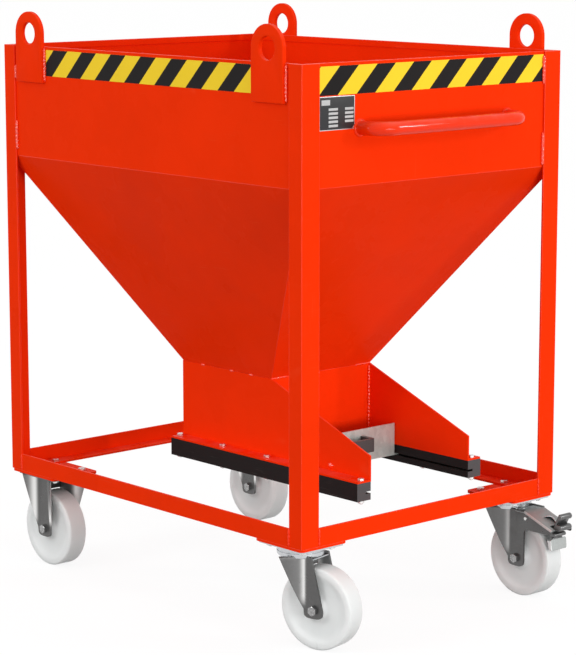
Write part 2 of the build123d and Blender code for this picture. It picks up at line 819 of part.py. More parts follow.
web_top = pin_z + PEDAL_RIBS[0].rise + PEDAL_RIBS[0].height / 2
web_low = pin_z + PEDAL_RIBS[-1].rise - PEDAL_RIBS[-1].height / 2
lever_front = pin_z + PEDAL_RIBS[-1].rise + PEDAL_RIBS[-1].height / 2
with BuildPart() as brake_pedal:
    with BuildSketch(upright(base, -pedal_width / 2)):
        with Locations((web_rear - pedal_web / 2, (web_top + web_low) / 2)):
            Rectangle(pedal_web, web_top - web_low)
        for rib in PEDAL_RIBS:
            nose = pin_y - rib.reach + rib.height / 2
            with Locations((nose, pin_z + rib.rise)):
                Circle(rib.height / 2)
            with Locations(((web_rear + nose) / 2, pin_z + rib.rise)):
                Rectangle(web_rear - nose, rib.height)
        with BuildLine():
            Polyline(
                (pin_y, pin_z), (web_rear, lever_front), (web_rear, lever_front - pedal_web),
                (pin_y, pin_z - pedal_web), close=True,
            )
        make_face()
        with Locations((pin_y, pin_z)):
            Circle(pedal_hub / 2)
            Circle(brake_pin_diameter / 2 + running_clearance, mode=Mode.SUBTRACT)
    extrude(amount=pedal_width)
    with BuildSketch(upright(base, -shoe_width / 2)):
        with BuildLine():
            Polyline(
                (web_rear, web_low), (pin_y - shoe_setback, pin_z - shoe_length),
                (pin_y - shoe_setback - shoe_thickness, pin_z - shoe_length),
                (web_rear - pedal_web, web_low), close=True,
            )
        make_face()
    extrude(amount=shoe_width)
keep(brake_pedal, "brake_pedal")
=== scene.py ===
"""Dressed scene of a wheeled cement silo container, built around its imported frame."""

import logging
import math
from collections.abc import Callable, Iterable, Sequence
from dataclasses import dataclass, field
from enum import Enum

import bmesh
import bpy
from bmesh.types import BMesh, BMVert
from bpy.types import ID, Material, Mesh, Node, NodeSocket, NodeTree
from mathutils import Matrix, Vector


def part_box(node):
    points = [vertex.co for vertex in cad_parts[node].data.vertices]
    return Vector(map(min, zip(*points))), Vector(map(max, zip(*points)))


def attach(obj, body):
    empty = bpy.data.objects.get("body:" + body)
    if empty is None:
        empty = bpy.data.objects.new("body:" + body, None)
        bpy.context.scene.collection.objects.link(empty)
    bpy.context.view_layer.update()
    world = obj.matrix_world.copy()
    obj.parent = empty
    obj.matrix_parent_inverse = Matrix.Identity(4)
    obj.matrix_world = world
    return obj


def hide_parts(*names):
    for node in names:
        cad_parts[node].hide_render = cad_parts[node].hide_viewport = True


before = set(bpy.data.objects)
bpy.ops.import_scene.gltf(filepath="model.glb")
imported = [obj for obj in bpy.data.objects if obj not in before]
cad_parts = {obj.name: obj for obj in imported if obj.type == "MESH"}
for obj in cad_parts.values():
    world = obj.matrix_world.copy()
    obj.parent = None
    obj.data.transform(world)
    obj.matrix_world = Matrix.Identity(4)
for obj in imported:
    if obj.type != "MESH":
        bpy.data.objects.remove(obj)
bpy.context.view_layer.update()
LOG = logging.getLogger("silo_container")

Colour = tuple[float, float, float]
Point2 = tuple[float, float]
Point3 = tuple[float, float, float]
WALLS = ("front", "rear", "left", "right")
WHITE: Colour = (1.0, 1.0, 1.0)
X_AXIS, Y_AXIS, Z_AXIS = Vector((1, 0, 0)), Vector((0, 1, 0)), Vector((0, 0, 1))
SHARP = 35.0  # degrees from which an edge is shaded as a corner
LEFT_TURN = 13.0  # degrees that the left front castor stands turned


class Effect(Enum):
    """Surface effects that several finishes share, each one shader node group."""

    GRAIN = "surface_grain"
    DUST = "settled_dust"
    SCRATCH = "fine_scratches"
    EDGE_WEAR = "edge_wear"
    BLOOM = "zinc_bloom"


class Side(Enum):
    """Left and right, with the sign of their place along X."""

    LEFT = -1
    RIGHT = 1

    @property
    def word(self) -> str:
        """The side as it stands in node names."""
        return self.name.lower()


class End(Enum):
    """Front and rear, with the sign of their place along Y."""

    FRONT = -1
    REAR = 1

    @property
    def word(self) -> str:
        """The end as it stands in node names."""
        return self.name.lower()


class NodeKit:
    """Adds and links the nodes of one shader tree."""

    def __init__(self, tree: NodeTree) -> None:
        """Starts with the given tree, emptied."""
        tree.nodes.clear()
        self.tree = tree

    def feed(self, socket: NodeSocket, value: object) -> None:
        """Links a socket to another one, or sets its own value.

        Args:
            socket: Input that is fed.
            value: Output socket, number or colour.
        """
        if isinstance(value, NodeSocket):
            self.tree.links.new(value, socket)
        elif socket.type == "RGBA":
            socket.default_value = (*value, 1.0)
        else:
            socket.default_value = value

    def fill(self, node: Node, values: dict[str | int, object]) -> None:
        """Feeds several inputs of a node, by name or number."""
        for key, value in values.items():
            self.feed(node.inputs[key], value)

    def add(self, kind: str, inputs: dict[str | int, object] | None = None, **settings: object) -> Node:
        """Adds one node.

        Args:
            kind: Blender's name of the node type.
            inputs: Values or sockets for its inputs.
            settings: Properties of the node itself.

        Returns:
            The new node.
        """
        node = self.tree.nodes.new(kind)
        for key, value in settings.items():
            setattr(node, key, value)
        self.fill(node, inputs or {})
        return node

    def math(self, operation: str, first: object, second: object = 0.0, clamp: bool = False) -> NodeSocket:
        """Output of one math node."""
        inputs = {0: first, 1: second}
        return self.add("ShaderNodeMath", inputs, operation=operation, use_clamp=clamp).outputs[0]

    def inverse(self, length: NodeSocket) -> NodeSocket:
        """Texture scale whose features have a length."""
        return self.math("DIVIDE", 1.0, length)

    def remap(
        self, value: object, low: float, high: float, to_low: object = 0.0, to_high: object = 1.0
    ) -> NodeSocket:
        """Output of a clamped range map."""
        inputs = {0: value, 1: low, 2: high, 3: to_low, 4: to_high}
        return self.add("ShaderNodeMapRange", inputs).outputs[0]

    def blend(self, factor: object, first: object, second: object, mode: str = "MIX") -> NodeSocket:
        """Output of a colour mix."""
        inputs = {0: factor, 6: first, 7: second}
        return self.add("ShaderNodeMix", inputs, data_type="RGBA", blend_type=mode).outputs[2]

    def mottled(self, mask: NodeSocket, colour: Colour, spread: float) -> NodeSocket:
        """A colour that goes darker and lighter with a mask."""
        return self.blend(mask, shade(colour, 1.0 - spread), shade(colour, 1.0 + spread))

    def noise(
        self, vector: NodeSocket, scale: object, detail: float = 2.0, roughness: float = 0.5
    ) -> NodeSocket:
        """Value of a noise texture."""
        inputs = {"Vector": vector, "Scale": scale, "Detail": detail, "Roughness": roughness}
        return self.add("ShaderNodeTexNoise", inputs).outputs[0]

    def place(self) -> NodeSocket:
        """Place on the piece, in metres."""
        return self.add("ShaderNodeTexCoord").outputs["Object"]

    def facing(self) -> NodeSocket:
        """Direction that the piece's surface faces, on the piece itself."""
        return self.add("ShaderNodeTexCoord").outputs["Normal"]

    def axes(self, vector: NodeSocket) -> Sequence[NodeSocket]:
        """X, Y and Z of a vector."""
        return self.add("ShaderNodeSeparateXYZ", {0: vector}).outputs

    def painted(self, name: str) -> NodeSocket:
        """Value that a mesh holds at its points under a name."""
        return self.add("ShaderNodeAttribute", attribute_name=name).outputs["Fac"]

    def stretched(self, scale: Point3, turn: Point3 = (0.0, 0.0, 0.0)) -> NodeSocket:
        """Place on the piece, stretched and turned for streaky textures."""
        inputs = {"Vector": self.place(), "Scale": scale, "Rotation": turn}
        return self.add("ShaderNodeMapping", inputs).outputs[0]

    def effect(self, effect: Effect, **values: object) -> dict[str, NodeSocket]:
        """Places a shared effect with its inputs, and gives its outputs by name."""
        node = self.add("ShaderNodeGroup", values, node_tree=effect_tree(effect))
        return {socket.name: socket for socket in node.outputs}

    def bump(self, height: NodeSocket, depth: float) -> NodeSocket:
        """Normal of a bumped surface whose relief is depth metres."""
        inputs = {"Strength": 1.0, "Distance": depth, "Height": height}
        return self.add("ShaderNodeBump", inputs).outputs[0]


def open_group(
    tree: NodeTree, inputs: dict[str, float], outputs: Sequence[str]
) -> tuple[NodeKit, dict[str, NodeSocket], Node]:
    """Gives a node group its named sockets.

    Args:
        tree: Empty node group.
        inputs: Input names with their usual values.
        outputs: Output names.

    Returns:
        The group's node kit, its input sockets by name and its output node.
    """
    for name, value in inputs.items():
        socket = tree.interface.new_socket(name=name, in_out="INPUT", socket_type="NodeSocketFloat")
        socket.default_value = value
    for name in outputs:
        tree.interface.new_socket(name=name, in_out="OUTPUT", socket_type="NodeSocketFloat")
    kit = NodeKit(tree)
    given = {socket.name: socket for socket in kit.add("NodeGroupInput").outputs if socket.name}
    return kit, given, kit.add("NodeGroupOutput")


def build_grain(tree: NodeTree) -> None:
    """Fine relief of a skin, with a slow cloudiness over it.

    Args:
        tree: Empty node group.
    """
    kit, given, out = open_group(tree, {"Size": 0.001}, ("Height", "Mottle"))
    height = kit.noise(kit.place(), kit.inverse(given["Size"]))
    cloud = kit.noise(kit.place(), 5.0, detail=4.0, roughness=0.6)
    kit.fill(out, {"Height": height, "Mottle": kit.remap(cloud, 0.3, 0.7)})


def build_dust(tree: NodeTree) -> None:
    """Dust that lies where a surface faces up, broken into patches.

    Args:
        tree: Empty node group.
    """
    kit, given, out = open_group(tree, {"Amount": 0.2, "Patch": 0.05}, ("Mask",))
    lies = kit.remap(kit.axes(kit.facing())[2], 0.2, 0.9)
    patch = kit.noise(kit.place(), kit.inverse(given["Patch"]), detail=5.0, roughness=0.65)
    broken = kit.math("MULTIPLY", lies, kit.remap(patch, 0.4, 0.75))
    kit.fill(out, {"Mask": kit.math("MULTIPLY", broken, given["Amount"], clamp=True)})


def build_scratches(tree: NodeTree) -> None:
    """Sparse hairline scratches in two directions.

    Args:
        tree: Empty node group.
    """
    kit, given, out = open_group(tree, {"Amount": 0.3}, ("Mask",))
    lines = []
    for scale, turn in (((9.0, 9.0, 900.0), (0.4, 0.3, 0.2)), ((700.0, 8.0, 12.0), (0.2, 0.5, 0.9))):
        lines.append(kit.remap(kit.noise(kit.stretched(scale, turn), 1.0, detail=1.0), 0.68, 0.74))
    sparse = kit.remap(kit.noise(kit.place(), 14.0), 0.5, 0.7)
    marks = kit.math("MULTIPLY", kit.math("MAXIMUM", *lines), sparse)
    kit.fill(out, {"Mask": kit.math("MULTIPLY", marks, given["Amount"], clamp=True)})


def build_edge_wear(tree: NodeTree) -> None:
    """Irregular worn spots for surfaces that lie on an edge.

    Args:
        tree: Empty node group.
    """
    kit, given, out = open_group(tree, {"Amount": 0.3, "Spot": 0.01}, ("Mask",))
    spots = kit.noise(kit.place(), kit.inverse(given["Spot"]), detail=4.0, roughness=0.7)
    level = kit.math("SUBTRACT", 0.78, kit.math("MULTIPLY", given["Amount"], 0.4))
    kit.fill(out, {"Mask": kit.math("MULTIPLY", kit.math("SUBTRACT", spots, level), 9.0, clamp=True)})


def build_bloom(tree: NodeTree) -> None:
    """Cloudy passivation of zinc, with its small crystals.

    Args:
        tree: Empty node group.
    """
    kit, given, out = open_group(tree, {"Crystal": 0.004}, ("Bloom", "Crystals"))
    inputs = {"Vector": kit.place(), "Scale": kit.inverse(given["Crystal"])}
    crystal = kit.add("ShaderNodeTexVoronoi", inputs, feature="F1")
    tone = kit.add("ShaderNodeSeparateColor", {0: crystal.outputs["Color"]}).outputs[0]
    cloud = kit.noise(kit.place(), 28.0, detail=4.0, roughness=0.65)
    kit.fill(out, {"Bloom": kit.remap(cloud, 0.3, 0.7), "Crystals": tone})


EFFECT_BUILDERS: dict[Effect, Callable[[NodeTree], None]] = {
    Effect.GRAIN: build_grain,
    Effect.DUST: build_dust,
    Effect.SCRATCH: build_scratches,
    Effect.EDGE_WEAR: build_edge_wear,
    Effect.BLOOM: build_bloom,
}


def effect_tree(effect: Effect) -> NodeTree:
    """Node group of an effect, built on first use.

    Args:
        effect: Which effect.

    Returns:
        Its node group.
    """
    tree = bpy.data.node_groups.get(effect.value)
    if tree is None:
        tree = bpy.data.node_groups.new(effect.value, "ShaderNodeTree")
        EFFECT_BUILDERS[effect](tree)
    return tree


def shade(colour: Colour, factor: float) -> Colour:
    """A colour made lighter or darker."""
    return tuple(min(1.0, channel * factor) for channel in colour)


@dataclass(frozen=True)
class Finish:
    """A named procedural surface."""

    name: str

    def material(self) -> Material:
        """Blender material of this finish, built on first use.

        Returns:
            The material.
        """
        material = bpy.data.materials.get(self.name)
        if material is None:
            material = bpy.data.materials.new(self.name)
            material.use_nodes = True
            kit = NodeKit(material.node_tree)
            shader = kit.add("ShaderNodeBsdfPrincipled")
            kit.add("ShaderNodeOutputMaterial", {"Surface": shader.outputs[0]})
            self.dress(kit, shader)
        return material

    def dress(self, kit: NodeKit, shader: Node) -> None:
        """Sets the shader's inputs."""
        raise NotImplementedError


@dataclass(frozen=True)
class Enamel(Finish):
    """Glossy enamel over steel; on edges it is worn, and its edge copy is lighter, partly as thinner paint and
    partly as a painted highlight.
    """

    colour: Colour
    roughness: float = 0.28
    gloss: float = 0.012
    edge: bool = False
    peel: float = 0.0016
    peel_share: float = 0.06
    relief: float = 0.0009
    scratched: Colour = (0.9, 0.13, 0.05)
    wear_and_sheen: Colour = (0.95, 0.16, 0.06)
    dusty: Colour = (0.72, 0.42, 0.34)

    def dress(self, kit: NodeKit, shader: Node) -> None:
        """Orange peel, faint cloudiness, dust on top and light scratches.

        Args:
            kit: Node kit of the material.
            shader: Its Principled shader.
        """
        grain = kit.effect(Effect.GRAIN, Size=self.peel)
        colour = kit.mottled(grain["Mottle"], self.colour, 0.04)
        colour = kit.blend(kit.effect(Effect.SCRATCH, Amount=0.25)["Mask"], colour, self.scratched)
        if self.edge:
            wear = kit.effect(Effect.EDGE_WEAR, Amount=0.35, Spot=0.012)["Mask"]
            colour = kit.blend(wear, colour, self.wear_and_sheen)
        dust = kit.effect(Effect.DUST, Amount=0.16, Patch=0.06)["Mask"]
        rough = kit.remap(grain["Mottle"], 0.0, 1.0, self.roughness - 0.05, self.roughness + 0.05)
        waves = kit.noise(kit.place(), 9.0, detail=1.0)
        relief = kit.math("ADD", kit.math("MULTIPLY", grain["Height"], self.peel_share), waves)
        kit.fill(shader, {
            "Base Color": kit.blend(dust, colour, self.dusty),
            "Roughness": kit.math("ADD", rough, kit.math("MULTIPLY", dust, 0.5), clamp=True),
            "Normal": kit.bump(relief, self.relief),
            "Specular IOR Level": self.gloss,
        })


@dataclass(frozen=True)
class Zinc(Finish):
    """Zinc plated or galvanised steel; where the mesh holds a sheen value, a painted highlight is laid in its
    colour.
    """

    colour: Colour
    roughness: float = 0.3
    crystal: float = 0.004
    contrast: float = 0.18
    metallic: float = 0.92
    painted_sheen: float = 0.0
    bright: Colour = (0.86, 0.86, 0.85)
    grain: float = 0.0006
    depth: float = 0.00003

    def dress(self, kit: NodeKit, shader: Node) -> None:
        """Crystals, cloudy bloom and fine scratches over bright metal, with the mesh's painted highlight.

        Args:
            kit: Node kit of the material.
            shader: Its Principled shader.
        """
        bloom = kit.effect(Effect.BLOOM, Crystal=self.crystal)
        colour = kit.mottled(bloom["Crystals"], self.colour, self.contrast)
        colour = kit.blend(kit.math("MULTIPLY", bloom["Bloom"], 0.35), colour, shade(self.colour, 0.8))
        scratch = kit.effect(Effect.SCRATCH, Amount=0.5)["Mask"]
        colour = kit.blend(scratch, colour, shade(self.colour, 1.5))
        # painted highlight: a pale colour laid where the mesh holds its sheen value, standing in for a lamp's
        # reflection on the bends
        if self.painted_sheen:
            wear_and_sheen = kit.math("MULTIPLY", kit.painted("painted_sheen"), self.painted_sheen)
            colour = kit.blend(wear_and_sheen, colour, self.bright)
        skin_grain = kit.effect(Effect.GRAIN, Size=self.grain)
        kit.fill(shader, {
            "Base Color": colour,
            "Roughness": kit.remap(bloom["Bloom"], 0.0, 1.0, self.roughness - 0.06, self.roughness + 0.1),
            "Normal": kit.bump(skin_grain["Height"], self.depth),
            "Metallic": self.metallic,
        })


@dataclass(frozen=True)
class Plastic(Finish):
    """Solid plastic with a moulded, sawn or turned skin."""

    colour: Colour
    roughness: float = 0.45
    grain: float = 0.0008
    depth: float = 0.00004
    saw: float = 0.0
    saw_lines: Point3 = (30.0, 900.0, 30.0)
    soil: Colour = (0.35, 0.33, 0.3)
    soiling: float = 0.15
    gloss: float = 0.35
    translucency: float = 0.0
    light_reach: float = 0.02
    cut: Colour | None = None
    tread_shade: Colour | None = None

    def dress(self, kit: NodeKit, shader: Node) -> None:
        """Skin grain, saw marks along the bar, paler cut ends, a tread darkened by painted shade, scuffs and
        dust.

        Args:
            kit: Node kit of the material.
            shader: Its Principled shader.
        """
        grain = kit.effect(Effect.GRAIN, Size=self.grain)
        colour = kit.mottled(grain["Mottle"], self.colour, 0.05)
        if self.cut:
            endways = kit.math("ABSOLUTE", kit.axes(kit.facing())[1])
            colour = kit.blend(kit.remap(endways, 0.85, 0.98), colour, self.cut)
        # painted shade: the tread is darker than the wheel's sides
        if self.tread_shade:
            colour = kit.blend(kit.painted("tread"), colour, self.tread_shade)
        colour = kit.blend(kit.effect(Effect.SCRATCH, Amount=0.35)["Mask"], colour, self.soil)
        dust = kit.effect(Effect.DUST, Amount=self.soiling, Patch=0.03)["Mask"]
        relief = grain["Height"]
        if self.saw:
            marks = kit.noise(kit.stretched(self.saw_lines), 1.0)
            relief = kit.math("ADD", relief, kit.math("MULTIPLY", marks, self.saw))
        rough = kit.remap(grain["Mottle"], 0.0, 1.0, self.roughness - 0.05, self.roughness + 0.07)
        kit.fill(shader, {
            "Base Color": kit.blend(dust, colour, self.soil),
            "Roughness": kit.math("ADD", rough, kit.math("MULTIPLY", dust, 0.3), clamp=True),
            "Normal": kit.bump(relief, self.depth),
            "Specular IOR Level": self.gloss,
            "Subsurface Weight": self.translucency,
            "Subsurface Radius": WHITE,
            "Subsurface Scale": self.light_reach,
        })


@dataclass(frozen=True)
class StripedTape(Finish):
    """Adhesive tape with slanted black and yellow stripes."""

    yellow: Colour
    black: Colour
    stripe: float = 0.0534
    start: float = -1.2517
    side_shift: float = 0.0064
    blur: float = 0.005
    bare: Colour = (0.4, 0.36, 0.28)
    gloss: float = 0.07

    def dress(self, kit: NodeKit, shader: Node) -> None:
        """Stripes that lean the same way on every wall, with a film's faint wrinkles.

        Args:
            kit: Node kit of the material.
            shader: Its Principled shader.
        """
        here, out = kit.axes(kit.place()), kit.axes(kit.facing())
        along = kit.math(
            "SUBTRACT", kit.math("MULTIPLY", out[0], here[1]), kit.math("MULTIPLY", out[1], here[0])
        )
        shift = kit.math("MULTIPLY", kit.math("ABSOLUTE", out[0]), self.side_shift)
        slant = kit.math("SUBTRACT", kit.math("SUBTRACT", along, here[2]), kit.math("ADD", self.start, shift))
        cycle = kit.math("FRACT", kit.math("DIVIDE", slant, 2.0 * self.stripe))
        wave = kit.math("PINGPONG", kit.math("ADD", cycle, 0.25), 0.5)
        stripes = kit.blend(kit.remap(wave, 0.25 - self.blur, 0.25 + self.blur), self.black, self.yellow)
        grain = kit.effect(Effect.GRAIN, Size=0.0011)
        colour = kit.blend(1.0, stripes, kit.blend(grain["Mottle"], shade(WHITE, 0.93), WHITE), "MULTIPLY")
        wear_and_sheen = kit.math("MULTIPLY", kit.effect(Effect.EDGE_WEAR, Amount=0.12, Spot=0.02)["Mask"], 0.25)
        creases = kit.noise(kit.place(), 34.0, detail=3.0, roughness=0.6)
        relief = kit.math("ADD", kit.math("MULTIPLY", grain["Height"], 0.08), creases)
        kit.fill(shader, {
            "Base Color": kit.blend(wear_and_sheen, colour, self.bare),
            "Roughness": kit.remap(grain["Mottle"], 0.0, 1.0, 0.38, 0.5),
            "Normal": kit.bump(relief, 0.0006),
            "Specular IOR Level": self.gloss,
        })


RED = (0.9, 0.033, 0.002)
ENAMEL = Enamel("enamel_red", RED)
# rounded edges: enamel 5 % lighter, partly thinner paint and partly a painted highlight
ENAMEL_EDGE = Enamel("enamel_red_edge", shade(RED, 1.05), roughness=0.3, gloss=0.25, edge=True)
ENAMEL_TUBE = Enamel("enamel_red_tube", RED, roughness=0.1, gloss=0.16)
# weld beads: enamel 5 % lighter as a painted highlight on the drops
ENAMEL_WELD = Enamel("enamel_red_weld", shade(RED, 1.05), roughness=0.1, gloss=1.0)
TAPE = StripedTape("tape_striped", yellow=(0.95, 0.66, 0.03), black=(0.013, 0.011, 0.011))
# castor pressings: a painted highlight lies along their bends and flares
CASTOR_ZINC = Zinc("zinc_pressed", (0.125, 0.124, 0.123), 0.3, 0.0035, 0.05, painted_sheen=0.92)
# paler, less metallic copy of the pressed zinc for the legs' inner skin and the swivel web: painted light that
# lifts them out of their shade; the bends' painted highlight lies on it too
INNER_ZINC = Zinc("zinc_inner", (0.24, 0.24, 0.24), 0.5, 0.003, 0.04, metallic=0.35, painted_sheen=0.92)
# bright zinc of the swivel ring; also laid on cut edges, the crown lip and the scoop rim as a painted highlight
RING_ZINC = Zinc("zinc_ring", (0.6, 0.62, 0.64), 0.22, 0.0035, 0.03)
BOLT_ZINC = Zinc("zinc_bolt", (0.7, 0.7, 0.69), 0.22, 0.0025, 0.05)
AXLE_ZINC = Zinc("zinc_axle", (0.34, 0.34, 0.34), 0.2, 0.0016, 0.4)
GATE_ZINC = Zinc("zinc_sheet", (0.56, 0.61, 0.575), 0.4, 0.012, 0.1, metallic=0.45)
BRAKE_ZINC = Zinc("zinc_brake", (0.15, 0.15, 0.15), 0.34, 0.003, 0.05)
# lighter, less metallic copy of the pressed zinc for the hood's upward faces: painted light; its cool tint
# offsets red light bounced from the frame
HOOD_ZINC = Zinc("zinc_hood", (0.25, 0.275, 0.27), 0.4, 0.003, 0.03, metallic=0.25)
# pale zinc on the fold between hood and cheek: a painted highlight
BEND_ZINC = Zinc("zinc_bend", (0.52, 0.56, 0.55), 0.4, 0.003, 0.03, metallic=0.3)
SHOE_ZINC = Zinc("zinc_shoe", (0.42, 0.44, 0.43), 0.4, 0.002, 0.06, metallic=0.3)
# paler copy of the shoe's zinc on its flanges: a painted highlight
SHOE_EDGE = Zinc("zinc_shoe_edge", (0.84, 0.86, 0.85), 0.35, 0.003, 0.03, metallic=0.3)
BEARING = Zinc("bearing_polished", (0.62, 0.62, 0.62), 0.14, 0.02, 0.04)
PLATE_ALLOY = Zinc("plate_alloy", (0.6, 0.6, 0.6), 0.34, 0.02, 0.05)
GUIDE_BLACK = Plastic(
    "guide_plastic_black", (0.012, 0.009, 0.009), 0.5, 0.0007, 0.0001,
    saw=0.8, gloss=0.08, cut=(0.085, 0.08, 0.082),
)
GRIP_DARK = Plastic("grip_plastic_dark", (0.065, 0.058, 0.058), 0.4, 0.0005, 0.00005)
# faint cool tint that offsets the red light bounced from the frame: painted light
# the darker tread colour is painted shade
NYLON = Plastic(
    "wheel_polyamide", (0.88, 0.9, 0.895), 0.42, 0.0012, 0.00003,
    soil=(0.55, 0.54, 0.52), soiling=0.12, translucency=0.75, tread_shade=(0.73, 0.745, 0.74),
)
PRINT_BLACK = Plastic("plate_print_black", (0.018, 0.018, 0.02), 0.35, 0.0004, 0.00002)
PRINT_PALE = Plastic("plate_print_pale", (0.5, 0.5, 0.5), 0.4, 0.0004, 0.00002)


def to_mesh(shape: BMesh, sharp: float = SHARP) -> Mesh:
    """Mesh of a form that is done with, shaded smooth between its corners.

    Args:
        shape: The form, which is freed.
        sharp: Angle of a corner, in degrees.

    Returns:
        The mesh.
    """
    mesh = bpy.data.meshes.new("shape")
    shape.to_mesh(mesh)
    shape.free()
    mesh.shade_smooth()
    mesh.set_sharp_from_angle(angle=math.radians(sharp))
    return mesh


def outward(shape: BMesh, sharp: float = SHARP) -> Mesh:
    """Mesh of a form with its faces turned outwards."""
    bmesh.ops.recalc_face_normals(shape, faces=shape.faces)
    return to_mesh(shape, sharp)


def merged(meshes: Iterable[Mesh], sharp: float = SHARP) -> Mesh:
    """One mesh of several, which keep their material numbers.

    Args:
        meshes: The meshes, which are removed.
        sharp: Angle of a corner, in degrees.

    Returns:
        The mesh of all of them.
    """
    shape = bmesh.new()
    for mesh in meshes:
        shape.from_mesh(mesh)
        bpy.data.meshes.remove(mesh)
    return to_mesh(shape, sharp)


def numbered(mesh: Mesh, index: int) -> Mesh:
    """The mesh with all faces on one material number."""
    mesh.polygons.foreach_set("material_index", [index] * len(mesh.polygons))
    return mesh


def moved(mesh: Mesh, matrix: Matrix) -> Mesh:
    """The mesh, moved."""
    mesh.transform(matrix)
    return mesh


def placed(name: str, data: ID) -> bpy.types.Object:
    """Puts data into the scene as an object.

    Args:
        name: Name of the object.
        data: Mesh, lamp or camera.

    Returns:
        The new object.
    """
    built = bpy.data.objects.new(name, data)
    bpy.context.scene.collection.objects.link(built)
    return built


def piece(
    name: str, mesh: Mesh, finishes: Finish | Sequence[Finish], body: str,
    stands_for: Sequence[str] = (),
) -> None:
    """Makes one finished piece of the object.

    Args:
        name: Name of the piece.
        mesh: Its shape, in the object's frame.
        finishes: Its finish, or one for each material number.
        body: Body that it moves with.
        stands_for: CAD nodes that it replaces.
    """
    mesh.name = name
    built = placed(name, mesh)
    for finish in [finishes] if isinstance(finishes, Finish) else finishes:
        mesh.materials.append(finish.material())
    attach(built, body)
    if stands_for:
        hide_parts(*stands_for)
    LOG.info("piece %s: %d faces on %s", name, len(mesh.polygons), body)


def dress_node(
    node: str, finish: Finish, edge: Finish | None = None, width: float = 0.001, segments: int = 2,
    crease: float = 28.0,
) -> None:
    """Gives a CAD node its finish and soft edges.

    Args:
        node: Name of the node.
        finish: Its finish.
        edge: Finish of its rounded edges, if that differs.
        width: Width of the rounding, in metres.
        segments: Faces across the rounding.
        crease: Angle in degrees from which an edge is rounded.
    """
    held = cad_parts[node]
    held.data.materials.clear()
    for each in (finish, edge or finish):
        held.data.materials.append(each.material())
    held.modifiers.new("weld", "WELD").merge_threshold = 1e-5
    flat = held.modifiers.new("flat", "DECIMATE")
    flat.decimate_type, flat.angle_limit = "DISSOLVE", math.radians(0.6)
    soft = held.modifiers.new("soft_edges", "BEVEL")
    soft.width, soft.segments, soft.material = width, segments, 1
    soft.limit_method, soft.angle_limit = "ANGLE", math.radians(crease)
    held.modifiers.new("normals", "WEIGHTED_NORMAL").weight = 60
    LOG.info("node %s dressed with %s", node, finish.name)


def arc(centre: Point2, radius: float, start: float, stop: float, steps: int) -> list[Point2]:
    """Points of an arc, angles in degrees."""
    angles = [math.radians(start + (stop - start) * step / steps) for step in range(steps + 1)]
    return [(centre[0] + radius * math.cos(a), centre[1] + radius * math.sin(a)) for a in angles]


def circle(radius: float, steps: int, centre: Point2 = (0.0, 0.0)) -> list[Point2]:
    """Points of a closed circle."""
    return arc(centre, radius, 0.0, 360.0, steps)[:-1]


def hole(radius: float, steps: int, centre: Point2 = (0.0, 0.0)) -> list[Point2]:
    """Points of a round hole, which run the other way."""
    return list(reversed(circle(radius, steps, centre)))


def rectangle(across: Point2, up: Point2) -> list[Point2]:
    """Rectangle between two places across and two up."""
    return [(across[0], up[0]), (across[1], up[0]), (across[1], up[1]), (across[0], up[1])]


def rounded(half: float, low: float, high: float, radius: float, steps: int) -> list[Point2]:
    """Rounded rectangle, given by the centres of its corners.

    Args:
        half: How far the centres lie to either side.
        low: Place of the lower centres.
        high: Place of the upper centres.
        radius: Corner radius.
        steps: Lines in each corner.

    Returns:
        The outline.
    """
    outline = []
    for quarter, centre in enumerate(((half, high), (-half, high), (-half, low), (half, low))):
        outline += arc(centre, radius, 90.0 * quarter, 90.0 * (quarter + 1), steps)
    return outline


def standing(across: Vector, up: Vector, corner: Sequence[float]) -> Matrix:
    """Matrix that takes a plate's X and Y to two directions and its origin to a corner."""
    turn = Matrix((across, up, across.cross(up))).transposed().to_4x4()
    return Matrix.Translation(corner) @ turn


def toward(seat: Vector, axis: Vector) -> Matrix:
    """Matrix that stands a form's +Z on a seat along an axis."""
    return Matrix.Translation(seat) @ axis.to_track_quat("Z", "Y").to_matrix().to_4x4()


def skin(
    shape: BMesh, rows: Sequence[Sequence[BMVert]], looped: bool = False, closed: bool = True, index: int = 0
) -> None:
    """Lays faces between neighbouring rows of points.

    Args:
        shape: Form that gets the faces.
        rows: Rows with equally many points.
        looped: Whether the last row joins the first.
        closed: Whether the last point of a row joins its first.
        index: Material number of the faces.
    """
    count = len(rows[0])
    following = [*rows[1:], rows[0]] if looped else rows[1:]
    for first, second in zip(rows, following):
        for spot in range(count if closed else count - 1):
            after = (spot + 1) % count
            face = shape.faces.new((first[spot], first[after], second[after], second[spot]))
            face.material_index = index


def lathe(profile: Sequence[Point2], matrix: Matrix, steps: int = 72, closed: bool = True) -> Mesh:
    """Turned form.

    Args:
        profile: Points of place along the axis and radius.
        matrix: Takes the axis +X into place.
        steps: Faces around the axis.
        closed: Whether the profile's last point joins its first.

    Returns:
        The turned mesh.
    """
    shape = bmesh.new()
    rings = []
    for step in range(steps):
        turn = 2.0 * math.pi * step / steps
        rings.append([shape.verts.new((a, r * math.cos(turn), r * math.sin(turn))) for a, r in profile])
    skin(shape, rings, looped=True, closed=closed)
    bmesh.ops.remove_doubles(shape, verts=shape.verts, dist=1e-7)
    return moved(outward(shape), matrix)


